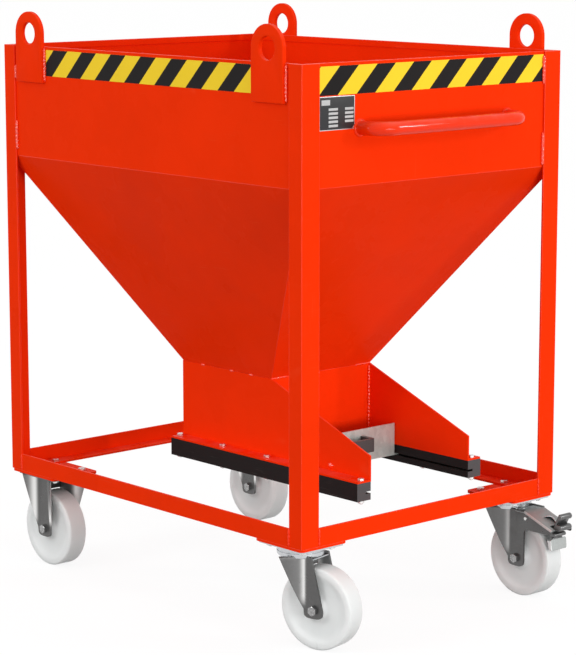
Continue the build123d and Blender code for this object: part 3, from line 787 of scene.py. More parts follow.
def plate(loops: Sequence[Sequence[Point2]], thickness: float, rounding: float, matrix: Matrix) -> Mesh:
    """Flat plate with rounded edges, drawn as outlines in its own XY plane and lying on Z = 0.

    Args:
        loops: Outer outline, then holes.
        thickness: Plate thickness.
        rounding: Radius of the edges.
        matrix: Takes the plate into place.

    Returns:
        The plate's mesh.
    """
    curve = bpy.data.curves.new("outline", "CURVE")
    curve.dimensions, curve.fill_mode = "2D", "BOTH"
    curve.extrude, curve.bevel_depth, curve.bevel_resolution = thickness / 2 - rounding, rounding, 2
    curve.offset = -rounding
    for loop in loops:
        spline = curve.splines.new("POLY")
        spline.points.add(len(loop) - 1)
        for point, (x, y) in zip(spline.points, loop):
            point.co = (x, y, 0.0, 1.0)
        spline.use_cyclic_u = True
    holder = bpy.data.objects.new("outline", curve)
    mesh = bpy.data.meshes.new_from_object(holder)
    bpy.data.objects.remove(holder)
    bpy.data.curves.remove(curve)
    shape = bmesh.new()
    shape.from_mesh(mesh)
    bpy.data.meshes.remove(mesh)
    bmesh.ops.remove_doubles(shape, verts=shape.verts, dist=1e-6)
    return moved(outward(shape), matrix @ Matrix.Translation((0.0, 0.0, thickness / 2)))


def swept(path: Sequence[Vector], rings: Sequence[Sequence[Point2]], side: Vector) -> Mesh:
    """Form whose section follows a path, with closed ends.

    Args:
        path: Points of the path.
        rings: Section at each point, across and up.
        side: Direction that the section's second number keeps close to.

    Returns:
        The swept mesh.
    """
    shape = bmesh.new()
    rows = []
    for step, (here, ring) in enumerate(zip(path, rings)):
        way = (path[min(step + 1, len(path) - 1)] - path[max(step - 1, 0)]).normalized()
        across = way.cross(side).normalized()
        up = across.cross(way)
        rows.append([shape.verts.new(here + across * a + up * b) for a, b in ring])
    skin(shape, rows)
    for cap in (rows[0], rows[-1]):
        shape.faces.new(cap)
    return outward(shape)


def solid_boxes(node: str) -> list[tuple[Vector, Vector]]:
    """Boxes of the separate solids in a CAD node.

    Args:
        node: Name of the node.

    Returns:
        Lowest and highest corner of each solid, in a fixed order.
    """
    shape = bmesh.new()
    shape.from_mesh(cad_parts[node].data)
    bmesh.ops.remove_doubles(shape, verts=shape.verts, dist=1e-5)
    left, found = set(shape.verts), []
    while left:
        edge, seen = [left.pop()], []
        while edge:
            vert = edge.pop()
            seen.append(vert.co.copy())
            for link in vert.link_edges:
                other = link.other_vert(vert)
                if other in left:
                    left.remove(other)
                    edge.append(other)
        found.append(tuple(Vector([pick(c[i] for c in seen) for i in range(3)]) for pick in (min, max)))
    shape.free()
    return sorted(found, key=lambda pair: tuple(round(v, 5) for v in pair[0]))


@dataclass
class FrameBars:
    """Posts, rails and castor pads of the welded angle bar frame."""

    rounding: float = 0.0011

    def build(self) -> None:
        """Dresses the bars."""
        for end in End:
            for side in Side:
                for kind in ("post", "castor_pad"):
                    dress_node(f"{kind}_{end.word}_{side.word}", ENAMEL, ENAMEL_EDGE, self.rounding)
        for wall in WALLS:
            dress_node(f"rail_{wall}", ENAMEL, ENAMEL_EDGE, self.rounding)


@dataclass
class Hopper:
    """Sheet steel hopper with the chute and the guide rails under it."""

    rounding: float = 0.0009
    fold: float = 15.0

    def build(self) -> None:
        """Dresses the sheets and the rails."""
        for wall in WALLS:
            dress_node(f"hopper_wall_{wall}", ENAMEL, ENAMEL_EDGE, self.rounding, crease=self.fold)
        for end in End:
            dress_node(f"chute_{end.word}_wall", ENAMEL, ENAMEL_EDGE, self.rounding)
        for side in Side:
            dress_node(f"chute_skirt_{side.word}", ENAMEL, ENAMEL_EDGE, self.rounding)
            dress_node(f"guide_rail_{side.word}", GUIDE_BLACK, None, self.rounding)


@dataclass
class LiftingEyes:
    """Upright plates with a round hole for a shackle, one near each top corner."""

    width: float = 0.1
    thickness: float = 0.01
    hole: float = 0.05
    rounding: float = 0.0012

    def outline(self, foot: float) -> list[list[Point2]]:
        """Outlines round the hole's centre.

        Args:
            foot: How far the plate reaches down from that centre.

        Returns:
            Outer outline, then the hole.
        """
        half = self.width / 2
        outer = [(-half, -foot), (half, -foot), *arc((0.0, 0.0), half, 0.0, 180.0, 48)]
        return [outer, hole(self.hole / 2, 64)]

    def build(self) -> None:
        """Builds the four plates in the place of their nodes."""
        for end in End:
            for side in Side:
                node = f"lifting_eye_{end.word}_{side.word}"
                low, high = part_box(node)
                centre = Vector((low.x, (low.y + high.y) / 2, high.z - self.width / 2))
                stand = standing(Y_AXIS, Z_AXIS, centre)
                mesh = plate(self.outline(centre.z - low.z), self.thickness, self.rounding, stand)
                piece(f"{node}_plate", mesh, ENAMEL, "frame", [node])


@dataclass
class PushHandle:
    """Bent tube across the front wall."""

    tube: float = 0.03
    bend: float = 0.045
    steps: int = 16
    bead: float = 0.0042
    sunk: float = 0.001

    def build(self) -> None:
        """Sweeps the tube from wall to wall and welds its ends on."""
        low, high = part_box("push_handle")
        radius = self.tube / 2
        x, y, z = high.x - radius, low.y + radius, (low.z + high.z) / 2
        turn_y = y + self.bend
        path = [Vector((-x, high.y, z)), Vector((-x, turn_y, z))]
        for centre_x, start, stop in ((-x + self.bend, 180.0, 270.0), (x - self.bend, 270.0, 360.0)):
            path += [Vector((*spot, z)) for spot in arc((centre_x, turn_y), self.bend, start, stop, self.steps)]
        path += [Vector((x, turn_y, z)), Vector((x, high.y, z))]
        path = [p for step, p in enumerate(path) if step == 0 or (p - path[step - 1]).length > 1e-6]
        meshes = [swept(path, [circle(radius, 40)] * len(path), Z_AXIS)]
        seam = [(a, radius + b) for a, b in arc((0.0, 0.0), self.bead, 90.0, 0.0, 5)]
        for end in (-x, x):
            stand = Matrix.Translation((end, high.y, z)) @ Matrix.Rotation(math.radians(-90), 4, "Z")
            meshes.append(lathe([(0.0, radius - self.sunk), *seam], stand, 48))
        piece("push_handle_tube", merged(meshes), ENAMEL_TUBE, "frame", ["push_handle"])


@dataclass
class Markings:
    """Striped tape round the rim and the blank data plate."""

    tape_edge: float = 0.00012
    plate_edge: float = 0.0003
    margin: float = 0.0016
    worn: float = 0.009
    print_depth: float = 0.00015
    print_edge: float = 0.00004
    title: tuple[Point2, Point2] = ((0.006, 0.03), (0.052, 0.063))
    columns: tuple[tuple[Point2, int], ...] = (((0.026, 0.052), 5), ((0.072, 0.096), 4))
    first_row: Point2 = (0.0405, 0.0455)
    row_pitch: float = 0.0085

    def fields(self) -> list[list[Point2]]:
        """Empty printed fields of the data plate.

        Returns:
            Their outlines from the plate's lower left corner.
        """
        outlines = [rectangle(*self.title)]
        for across, rows in self.columns:
            for row in range(rows):
                outlines.append(rectangle(across, tuple(up - self.row_pitch * row for up in self.first_row)))
        return outlines

    def build(self) -> None:
        """Dresses the tape and builds the plate with empty fields."""
        dress_node("hazard_tape", TAPE, None, self.tape_edge, 1)
        low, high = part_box("data_plate")
        width, height, thick = high.x - low.x, high.z - low.z, high.y - low.y
        stand = standing(X_AXIS, Z_AXIS, (low.x, high.y, low.z))
        body = plate([rectangle((0.0, width), (0.0, height))], thick, self.plate_edge, stand)
        panel = rectangle((self.margin, width - self.margin), (self.margin, height - self.margin))
        panel[1:2] = [(width - self.worn, self.margin), (width - self.margin, self.worn)]
        top = stand @ Matrix.Translation((0.0, 0.0, thick))
        meshes = [body, numbered(plate([panel], self.print_depth, self.print_edge, top), 1)]
        over = top @ Matrix.Translation((0.0, 0.0, self.print_depth))
        for outline in self.fields():
            meshes.append(numbered(plate([outline], self.print_depth, self.print_edge, over), 2))
        finishes = (PLATE_ALLOY, PRINT_BLACK, PRINT_PALE)
        piece("data_plate_blank", merged(meshes), finishes, "frame", ["data_plate"])


class CastorKind(Enum):
    """Castors that turn and castors that don't."""

    SWIVEL = "swivel"
    FIXED = "fixed"


@dataclass
class Castor:
    """One castor: pressed housing, ring and wheel, in its own frame with the wheel rolling along Y."""

    kind: CastorKind
    end: End
    side: Side
    turn: float = 0.0
    trail: float = 0.0
    straight_front: bool = False
    axle: float = 0.09
    gap: float = 0.06
    sheet: float = 0.005
    edge: float = 0.0011
    cut: float = 0.0008
    half: float = 0.024
    bend: float = 0.012
    bend_angle: float = 45.0
    flare: float = 0.054
    flare_power: float = 0.88
    below: float = 0.0185
    foot_power: float = 3.6
    shoulder: float = 0.002
    shoulder_angle: float = 75.0
    top: float = 0.2055
    overhang: float = 0.005
    columns: int = 48
    corner_angle: float = 50.0
    # where the painted highlight lies along the bends and flares, how wide and how strong
    glint: float = 0.0233
    glint_width: float = 0.0039
    glint_lift: float = 0.006
    glint_fade: float = 0.02
    glint_core: Point2 = (0.85, 1.7)
    glint_tail: Point2 = (0.15, 5.0)
    shine: float = 1.0
    crown: float = 0.1985
    crown_sheet: float = 0.0045
    crown_drop: float = 0.0025
    crown_edge: float = 0.0012
    crown_tuck: float = 0.001
    lip: float = 0.0016
    lip_drop: float = 0.0006
    ring: float = 0.052
    ring_bend: float = 0.006
    ring_rim: tuple[Point2, ...] = (
        (0.2098, 0.0), (0.2106, 0.0012), (0.2122, 0.0012), (0.213, 0.0), (0.2182, 0.0), (0.219, 0.0008),
        (0.219, 0.0027), (0.2182, 0.0035), (0.2088, 0.0035),
    )
    kingpin: float = 0.0072
    plate_level: float = 0.22
    plate_corner: Point2 = (0.05, 0.062)
    plate_radius: float = 0.008
    bolt_place: Point2 = (0.04, 0.0525)
    bolt_hole: float = 0.0053
    web_sheet: float = 0.004
    web_arch: float = 0.0008
    web_tuck: float = 0.002
    web_drop: float = 0.004
    swivel_web: Point2 = (0.036, 0.1744)
    fixed_web: Point2 = (0.023, 0.1788)
    tread: float = 0.09
    tread_half: float = 0.024
    tread_edge: float = 0.0045
    wheel_side: tuple[Point2, ...] = (
        (0.029, 0.0101), (0.029, 0.0195), (0.0284, 0.0206), (0.0212, 0.0265), (0.0192, 0.031),
        (0.0186, 0.038), (0.0186, 0.054), (0.0192, 0.061), (0.0206, 0.067), (0.0226, 0.0715),
        (0.0236, 0.0745), (0.024, 0.078),
    )
    matrix: Matrix = field(init=False)

    def __post_init__(self) -> None:
        """Finds the castor's place from its wheel."""
        low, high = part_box(f"wheel_{self.end.word}_{self.side.word}")
        middle = (low + high) / 2
        spin = Matrix.Rotation(math.radians(self.turn), 4, "Z")
        self.matrix = Matrix.Translation((middle.x, middle.y, 0.0)) @ spin

    def section(self, place: float) -> tuple[Point2, Point2]:
        """Point and outward direction on the bent section of one leg.

        Args:
            place: Way along the sheet from the leg's middle, to the rear.

        Returns:
            Place outwards and along, and the outward direction.
        """
        sign, angle = math.copysign(1.0, place), math.radians(self.bend_angle)
        start = self.half - self.bend * math.tan(angle / 2)
        reach = abs(place)
        if reach <= start or (sign < 0 and self.kind is CastorKind.SWIVEL):
            return (0.0, place), (1.0, 0.0)
        turned = min((reach - start) / self.bend, angle)
        rest = max(0.0, reach - start - self.bend * angle)
        out = self.bend * (1.0 - math.cos(turned)) + rest * math.sin(turned)
        along = start + self.bend * math.sin(turned) + rest * math.cos(turned)
        return (out, sign * along), (math.cos(turned), -sign * math.sin(turned))

    def limits(self, height: float) -> Point2:
        """Ends of the leg's section at a height.

        Args:
            height: Height above the floor.

        Returns:
            Front and rear end.
        """
        if height < self.axle:
            share = min(1.0, (self.axle - height) / self.below)
            reach = self.half * (1.0 - share ** self.foot_power) ** (1.0 / self.foot_power)
            return -reach, reach
        share = (height - self.axle) / (self.top - self.axle)
        rear = self.half + self.flare * share ** self.flare_power
        if self.kind is CastorKind.FIXED:
            return -rear, rear
        return (-self.half if self.straight_front else -self.half + (self.half + self.overhang) * share), rear

    def sheen(self, place: float, height: float) -> float:
        """Strength of the painted highlight on the sheet: most on the bends, less along the flares.

        Args:
            place: Way along the sheet from the leg's middle, to the rear.
            height: Height above the floor.

        Returns:
            0 for plain sheet up to 1.
        """
        if place < 0 and self.kind is CastorKind.SWIVEL:
            return 0.0
        past = (abs(place) - self.glint) / self.glint_width
        rise = (height - self.axle - self.glint_lift) / self.glint_fade
        fade = self.shine * min(1.0, max(0.0, rise))
        if past < 0:
            return fade * math.exp(-(past ** 2))
        (core, spread), (tail, length) = self.glint_core, self.glint_tail
        return fade * (core * math.exp(-((past / spread) ** 2)) + tail * math.exp(-past / length))

    def rows(self) -> list[Point2]:
        """Rows of points down a leg: round its shoulder, down to the axle and round its foot.

        Returns:
            Height of each row, and how far the shoulder draws it in.
        """
        start = self.top - self.shoulder
        turns = [math.radians(self.shoulder_angle * (1.0 - step / 4)) for step in range(5)]
        rows = [(start + self.shoulder * math.sin(t), self.shoulder * (1 - math.cos(t))) for t in turns]
        rows += [(start + (self.axle - start) * step / 16, 0.0) for step in range(1, 17)]
        turns = [math.radians(89.0 * step / 9) for step in range(1, 10)]
        return rows + [(self.axle - self.below * math.sin(t), 0.0) for t in turns]

    def leg(self, way: int) -> Mesh:
        """One leg as a bent, tapering sheet with a squared foot; painted highlights lie on its bends and cut
        edges.

        Args:
            way: -1 for the left leg, 1 for the right one.

        Returns:
            The leg's mesh, in the castor's frame.
        """
        middle = self.gap / 2 + self.sheet / 2
        shape = bmesh.new()
        painted_sheen = shape.verts.layers.float.new("painted_sheen")
        skins: list[list[list[BMVert]]] = []
        for face in (1.0, -1.0):
            lines = []
            for height, inset in self.rows():
                front, rear = self.limits(min(height, self.top))
                push = face * self.sheet / 2 - inset
                line = []
                for column in range(self.columns + 1):
                    place = front + (rear - front) * column / self.columns
                    (out, along), (nx, ny) = self.section(place)
                    x, y = middle + out + nx * push, along + ny * push
                    vert = shape.verts.new((way * x, y, height))
                    # painted highlight: how much pale zinc each point takes
                    vert[painted_sheen] = self.sheen(place, height)
                    line.append(vert)
                lines.append(line)
            skins.append(lines)
        outer, inner = skins
        skin(shape, outer, closed=False)
        # inner skin in the paler zinc copy: painted light
        skin(shape, inner, closed=False, index=2)
        rims = [(outer[0], inner[0]), (outer[-1], inner[-1])]
        rims += [([r[c] for r in outer], [r[c] for r in inner]) for c in (0, self.columns)]
        for rim in rims:
            skin(shape, rim, closed=False)
        bmesh.ops.recalc_face_normals(shape, faces=shape.faces)
        corner = math.radians(self.corner_angle)
        edges = [e for e in shape.edges if len(e.link_faces) == 2 and e.calc_face_angle() > corner]
        # cut edges take the pale ring zinc: a painted highlight along them
        bmesh.ops.bevel(
            shape, geom=edges, offset=self.edge, segments=2, profile=0.5, affect="EDGES", clamp_overlap=True,
            material=1,
        )
        return outward(shape)

    def swivel_head(self) -> list[Mesh]:
        """Crown, ring and web of a swivel fork.

        Returns:
            Their meshes, in the castor's frame.
        """
        ring, bend, low = self.ring, self.ring_bend, self.crown
        cup = [(low, self.kingpin), (low, ring - bend), *arc((low + bend, ring - bend), bend, 180.0, 90.0, 6)]
        cup += [(height, ring - depth) for height, depth in self.ring_rim]
        cup.append((self.ring_rim[-1][0], self.kingpin))
        rear = -self.trail + self.half + self.overhang
        front = -self.trail - self.half if self.straight_front else rear - self.half
        half = self.gap / 2 + self.crown_tuck
        swing = Matrix.Translation((0.0, self.trail, 0.0))
        stand = swing @ Matrix.Translation((0, 0, low - self.crown_drop))
        crown = plate([rectangle((-half, half), (front, rear))], self.crown_sheet, self.crown_edge, stand)
        # pale ring zinc bead along the crown's front edge: a painted highlight
        edge = [swing @ Vector((way * half, front, low - self.lip_drop)) for way in (-1, 1)]
        lip = swept(edge, [circle(self.lip, 10)] * 2, Z_AXIS)
        turned = lathe(cup, swing @ Matrix.Rotation(math.radians(-90), 4, "Y"), 72)
        # web in the paler inner zinc copy: painted light against its shade
        return [numbered(self.web(*self.swivel_web), 2), crown, numbered(turned, 1), numbered(lip, 1)]

    def fixed_head(self) -> list[Mesh]:
        """Top plate and web of a fixed bracket.

        Returns:
            Their meshes, in the castor's frame.
        """
        x, y = self.bolt_place
        holes = [hole(self.bolt_hole, 20, (a, b)) for a in (-x, x) for b in (-y, y)]
        half, high = self.plate_corner
        outline = rounded(half, -high, high, self.plate_radius, 6)
        stand = Matrix.Translation((0, 0, self.plate_level))
        return [plate([outline, *holes], self.sheet, self.cut, stand), self.web(*self.fixed_web)]

    def web(self, along: float, low: float) -> Mesh:
        """Web that closes the pressing between the legs above the wheel, arched over the tread.

        Args:
            along: Its place behind the axle.
            low: Height of its lower edge.

        Returns:
            The web's mesh.
        """
        half, high = self.gap / 2 + self.web_tuck, self.top - self.web_drop
        turns = [math.radians(a) for a in range(180, -1, -12)]
        arch = [(half * math.cos(t), low + self.web_arch * math.sin(t)) for t in turns]
        stand = standing(X_AXIS, Z_AXIS, (0.0, along, 0.0))
        return plate([[*arch, (half, high), (-half, high)]], self.web_sheet, self.cut, stand)

    def wheel(self) -> Mesh:
        """Solid polyamide wheel: rounded tread, raised rim, dished web and a hub.

        Returns:
            The wheel's mesh, with a mark on its tread, where painted shade darkens it.
        """
        edge = self.tread_edge
        shoulder = arc((self.tread_half - edge, self.tread - edge), edge, 0.0, 90.0, 8)
        right = [*self.wheel_side, *shoulder]
        profile = right + [(-a, r) for a, r in reversed(right)]
        mesh = lathe(profile, Matrix.Translation((0, 0, self.axle)), 128)
        reach = [math.hypot(vert.co.y, vert.co.z - self.axle) for vert in mesh.vertices]
        # mark of the tread, which painted shade darkens
        tread_shade = [max(0.0, 1.0 - (self.tread - radius) / edge) for radius in reach]
        mesh.attributes.new("tread", "FLOAT", "POINT").data.foreach_set("value", tread_shade)
        return mesh

    def build(self) -> None:
        """Builds housing and wheel in the place of their nodes."""
        word = self.side.word
        swivels = self.kind is CastorKind.SWIVEL
        housing, body = (f"fork_{word}", f"swivel_{word}") if swivels else (f"fixed_bracket_{word}", "frame")
        head = self.swivel_head() if swivels else self.fixed_head()
        mesh = moved(merged([self.leg(-1), self.leg(1), *head]), self.matrix)
        # pressed zinc; ring zinc, which also paints the highlight on cut edges and crown lip; the paler inner
        # copy, painted light
        finishes = (CASTOR_ZINC, RING_ZINC, INNER_ZINC)
        piece(f"{housing}_pressing", mesh, finishes, body, [housing])
        node = f"wheel_{self.end.word}_{word}"
        piece(f"{node}_solid", moved(self.wheel(), self.matrix), NYLON, node, [node])


@dataclass(frozen=True)
class Thread:
    """Sizes of one hexagon fastener, and its forms."""

    radius: float
    flats: float
    head: float
    nut: float
    pitch: float
    chamfer: float = 0.475
    chamfer_angle: float = 30.0
    clearance: float = 0.995
    groove: float = 0.88
    steps: int = 48
    sharp: float = 25.0

    def hexagon(self, height: float, bore: float = 0.0) -> Mesh:
        """Bolt head or nut standing on Z = 0, with the arcs that its chamfer cuts into the flats.

        Args:
            height: Height of the head or nut.
            bore: Hole radius, 0 for a head.

        Returns:
            The mesh.
        """
        rim = self.chamfer * self.flats
        sixth = math.pi / 3
        shape = bmesh.new()
        rings = []
        for step in range(self.steps):
            turn = 2.0 * math.pi * step / self.steps
            reach = self.flats / 2 / math.cos((turn + sixth / 2) % sixth - sixth / 2)
            drop = (reach - rim) * math.tan(math.radians(self.chamfer_angle))
            foot = [(bore, 0.0), (rim, 0.0), (reach, drop)] if bore else [(0.0, 0.0), (reach, 0.0)]
            profile = [*foot, (reach, height - drop), (rim, height), (bore, height)]
            rings.append([shape.verts.new((r * math.cos(turn), r * math.sin(turn), z)) for r, z in profile])
        skin(shape, rings, looped=True, closed=bool(bore))
        bmesh.ops.remove_doubles(shape, verts=shape.verts, dist=1e-6)
        return outward(shape, self.sharp)

    def shank(self, length: float, threaded: float) -> Mesh:
        """Bolt shank that hangs below Z = 0, with thread grooves on its last stretch.

        Args:
            length: Length below the head.
            threaded: Length of the threaded stretch.

        Returns:
            The shank's mesh.
        """
        radius, pitch = self.radius * self.clearance, self.pitch
        profile = [(0.0, 0.0), (0.0, radius)]
        place = length - threaded
        while place < length - 1.5 * pitch:
            profile += [(place, radius), (place + pitch / 2, radius * self.groove)]
            place += pitch
        profile += [(place, radius), (length - 0.6 * pitch, radius)]
        profile += [(length, radius - 0.7 * pitch), (length, 0.0)]
        return lathe(profile, Matrix.Rotation(math.radians(90), 4, "Y"), 24, closed=False)


M5 = Thread(0.0025, 0.008, 0.0035, 0.004, 0.0008)
M8 = Thread(0.004, 0.013, 0.0053, 0.0065, 0.00125)
M10 = Thread(0.005, 0.016, 0.0064, 0.006, 0.0015)
M12 = Thread(0.006, 0.019, 0.0075, 0.01, 0.00175)


@dataclass
class Fasteners:
    """Bolts, nuts, sleeves and pins, each in the place of its CAD solid."""

    axle_thread: float = 0.014
    screw_thread: float = 0.006
    snug: float = 0.98
    sharp: float = 25.0
    pin_edge: float = 0.0006
    ball_edge: float = 0.0001
    plate_edge: float = 0.0008

    def ends(self, low: Vector, high: Vector, axis: Vector, size: Thread) -> tuple[Vector, Vector]:
        """Ends of a bolt along its axis, found from its box.

        Args:
            low: Lowest corner of the box.
            high: Highest corner of the box.
            axis: Direction from the bolt's foot to its head.
            size: Its sizes, which a box that lies askew holds too.

        Returns:
            Foot and top.
        """
        middle = (low + high) / 2
        if abs(axis.x) > 0.5 and abs(axis.y) > 0.01:
            reach = (high.x - low.x) / 2 / abs(axis.x)
            trim = size.flats / 2 * abs(axis.y) / abs(axis.x) * self.snug
            foot = middle - axis * reach + axis * size.radius * abs(axis.y)
            return foot, middle + axis * reach - axis * trim
        reach = sum(abs(axis[i]) * (high[i] - low[i]) for i in range(3)) / 2
        return middle - axis * reach, middle + axis * reach

    def bolts(
        self, node: str, size: Thread, axis: Vector, body: str, threaded: float, finish: Finish = BOLT_ZINC
    ) -> None:
        """Replaces a node of bolts.

        Args:
            node: Name of the node.
            size: Their sizes.
            axis: Direction that their heads point to.
            body: Body that they move with.
            threaded: Length of their thread.
            finish: Their finish.
        """
        meshes = []
        for low, high in solid_boxes(node):
            foot, top = self.ends(low, high, axis, size)
            seat = top - axis * size.head
            stand = toward(seat, axis)
            meshes.append(moved(size.hexagon(size.head), stand))
            meshes.append(moved(size.shank((seat - foot).length, threaded), stand))
        piece(f"{node}_hex", merged(meshes, self.sharp), finish, body, [node])

    def nuts(self, node: str, size: Thread, axis: Vector, body: str) -> None:
        """Replaces a node of nuts.

        Args:
            node: Name of the node.
            size: Their sizes.
            axis: Direction that they stand along.
            body: Body that they move with.
        """
        meshes = []
        for low, high in solid_boxes(node):
            stand = toward((low + high) / 2 - axis * size.nut / 2, axis)
            meshes.append(moved(size.hexagon(size.nut, size.radius), stand))
        piece(f"{node}_hex", merged(meshes, self.sharp), BOLT_ZINC, body, [node])

    def build(self) -> None:
        """Builds all fasteners."""
        turned = Matrix.Rotation(math.radians(LEFT_TURN), 3, "Z") @ -X_AXIS
        for stem, size, axis, threaded, finish in (
            ("guide_rail", M8, Z_AXIS, 0.012, BOLT_ZINC),
            ("castor", M10, Z_AXIS, 0.011, BOLT_ZINC),
            ("rear_axle", M12, -X_AXIS, self.axle_thread, AXLE_ZINC),
        ):
            self.bolts(f"{stem}_bolts", size, axis, "frame", threaded, finish)
            self.nuts(f"{stem}_nuts", size, -axis, "frame")
        self.bolts("gate_handle_screws", M5, Y_AXIS, "slide_gate", self.screw_thread)
        for side, axis in ((Side.LEFT, turned), (Side.RIGHT, -X_AXIS)):
            stem, body = f"front_{side.word}_axle", f"swivel_{side.word}"
            self.bolts(f"{stem}_bolt", M12, axis, body, self.axle_thread, AXLE_ZINC)
            self.nuts(f"{stem}_nut", M12, -axis, body)
        sleeves = ("rear_axle_sleeves", "front_left_axle_sleeve", "front_right_axle_sleeve")
        for node in (*sleeves, "kingpins", "brake_pin"):
            dress_node(node, BOLT_ZINC, None, self.pin_edge)
        dress_node("swivel_balls", BEARING, None, self.ball_edge)
        for side in Side:
            dress_node(f"swivel_plate_{side.word}", RING_ZINC, None, self.plate_edge)


@dataclass
class SlideGate:
    """Galvanised gate plate with its handle."""

    plate_edge: float = 0.0008
    grip_edge: float = 0.0028

    def build(self) -> None:
        """Dresses the plate and the handle."""
        dress_node("gate", GATE_ZINC, None, self.plate_edge)
        dress_node("gate_handle", GRIP_DARK, None, self.grip_edge, 4)


@dataclass(frozen=True)
class Rib:
    """One foot rib of the brake pedal, placed from its pin."""

    rise: float
    reach: float
    height: float


@dataclass
class Brake:
    """Foot brake on the right front castor: pressed hood, pedal with three ribs and a shoe."""

    sheet: float = 0.0025
    outer: float = 0.0351
    fold: float = 0.0038
    lap: float = 0.0004
    cut: float = 0.0004
    soft: float = 0.0006
    hood_front: float = -0.163
    hood_rear: float = -0.079
    flat_rear: float = -0.0525
    hood_low: float = 0.1733
    hood_tuck: float = 0.0003
    cheek_corner: float = 0.004
    cheek_tongue: float = 0.018
    fillet: float = 0.011
    notch: float = 0.021
    notch_start: float = 0.0713
    scoop_line: tuple[Point2, Point2, Point2] = ((-0.006, 0.0389), (0.013, 0.0435), (0.003, 0.0695))
    scoop_steps: int = 14
    scoop_width: float = 0.01
    scoop_height: float = 0.0068
    scoop_sheet: float = 0.0014
    scoop_lap: float = 0.0005
    scoop_back: float = 0.8
    swell_span: Point2 = (0.05, 0.9)
    swell_power: float = 0.7
    rim_bead: Point2 = (0.0006, 0.0008)
    # dark plate under the scoop's opening: painted shade
    shade_plate: tuple[Point2, Point2] = ((-0.012, 0.024), (0.03, 0.071))
    shade_plate_sheet: float = 0.001
    shade_plate_edge: float = 0.0003
    pin: Point2 = (-0.087, 0.1888)
    hub: float = 0.007
    bore: float = 0.0042
    web: float = 0.0045
    web_foot: float = -0.0745
    lean: float = 0.52
    pedal_width: float = 0.038
    pedal_edge: float = 0.0014
    comb_lap: float = 0.002
    lever_ends: tuple[Point2, Point2] = ((-0.0035, 0.009), (-0.0005, 0.003))
    lever_root: float = 0.006
    neck_foot: Point2 = (-0.0605, -0.0665)
    neck_drop: float = 0.0075
    neck_lap: float = 0.002
    neck_inset: float = 0.004
    ribs: tuple[Rib, ...] = (Rib(0.014, 0.091, 0.014), Rib(-0.011, 0.091, 0.014), Rib(-0.03, 0.074, 0.009))
    shoe_width: float = 0.052
    shoe_sheet: float = 0.005
    shoe_corner: float = 0.003
    shoe_top: Point2 = (-0.0676, -0.005)
    shoe_low: Point2 = (-0.071, -0.065)
    flange_lift: float = 0.001
    flange_depth: Point2 = (0.0075, 0.011)

    def profile(self, outline: list[Point2], width: float, rounding: float, middle: float = 0.0) -> Mesh:
        """Plate drawn along and up, set square across the castor."""
        return plate([outline], width, rounding, standing(Y_AXIS, Z_AXIS, (middle - width / 2, 0.0, 0.0)))

    def cheek(self, way: int, top: float, low: float) -> Mesh:
        """Side of the hood, with a hollow corner against the fork's leg.

        Args:
            way: -1 for the left side, 1 for the right one.
            top: Height of the hood's flat top.
            low: Height of the cheek's lower edge.

        Returns:
            The cheek's mesh.
        """
        drop, corner = self.fold - self.lap, self.cheek_corner
        front, rear, fillet = self.hood_front, self.hood_rear, self.fillet
        outline = [
            (self.flat_rear, top - drop), (rear, top - drop), (front, self.hood_low - drop),
            *arc((front + corner, low + corner), corner, 180.0, 270.0, 5),
            *arc((rear - fillet, low - fillet), fillet, 90.0, 0.0, 8),
            (rear + self.cheek_tongue, low - fillet),
        ]
        return self.profile(outline, self.sheet, self.soft, way * (self.outer - self.sheet / 2))

    def bend(self, way: int, top: float) -> Mesh:
        """Rounded fold between hood and cheek, in pale zinc as a painted highlight.

        Args:
            way: -1 for the left side, 1 for the right one.
            top: Height of the hood's flat top.

        Returns:
            The fold's mesh.
        """
        fold, inner = self.fold, self.fold - self.sheet
        turns = [math.radians(90.0 * step / 8) for step in range(9)]
        ring = [(fold * (math.sin(t) - 1), way * fold * (math.cos(t) - 1)) for t in turns]
        ring += [(inner * math.sin(t) - fold, way * (inner * math.cos(t) - fold)) for t in reversed(turns)]
        stations = ((self.flat_rear, top), (self.hood_rear, top), (self.hood_front, self.hood_low))
        path = [Vector((way * self.outer, along, height)) for along, height in stations]
        return numbered(swept(path, [ring] * 3, X_AXIS), 3)

    def hood(self, top: float) -> list[Mesh]:
        """Flat and sloping top with the pedal's notch and a pressed scoop, in the hood's lighter zinc as
        painted light.

        Args:
            top: Height of the flat top.

        Returns:
            The meshes of slope, flat and scoop.
        """
        half = self.outer - self.fold + self.hood_tuck
        run, fall = self.hood_rear - self.hood_front, top - self.hood_low
        length = math.hypot(run, fall)
        slope = standing(X_AXIS, Vector((0, -run / length, -fall / length)), (0.0, self.hood_rear, top))
        edge, start = self.notch, self.notch_start
        outline = [
            (-half, 0.0), (half, 0.0), (half, length), (edge, length),
            (edge, start), (-edge, start), (-edge, length), (-half, length),
        ]
        opening, scoop = self.scoop(slope)
        flat = standing(X_AXIS, -Y_AXIS, (0.0, self.flat_rear, top))
        depth = self.flat_rear - self.hood_rear + self.lap
        level = plate([rectangle((-half, half), (0.0, depth))], self.sheet, self.cut, flat)
        return [numbered(plate([outline, opening], self.sheet, self.cut, slope), 1), numbered(level, 1), *scoop]

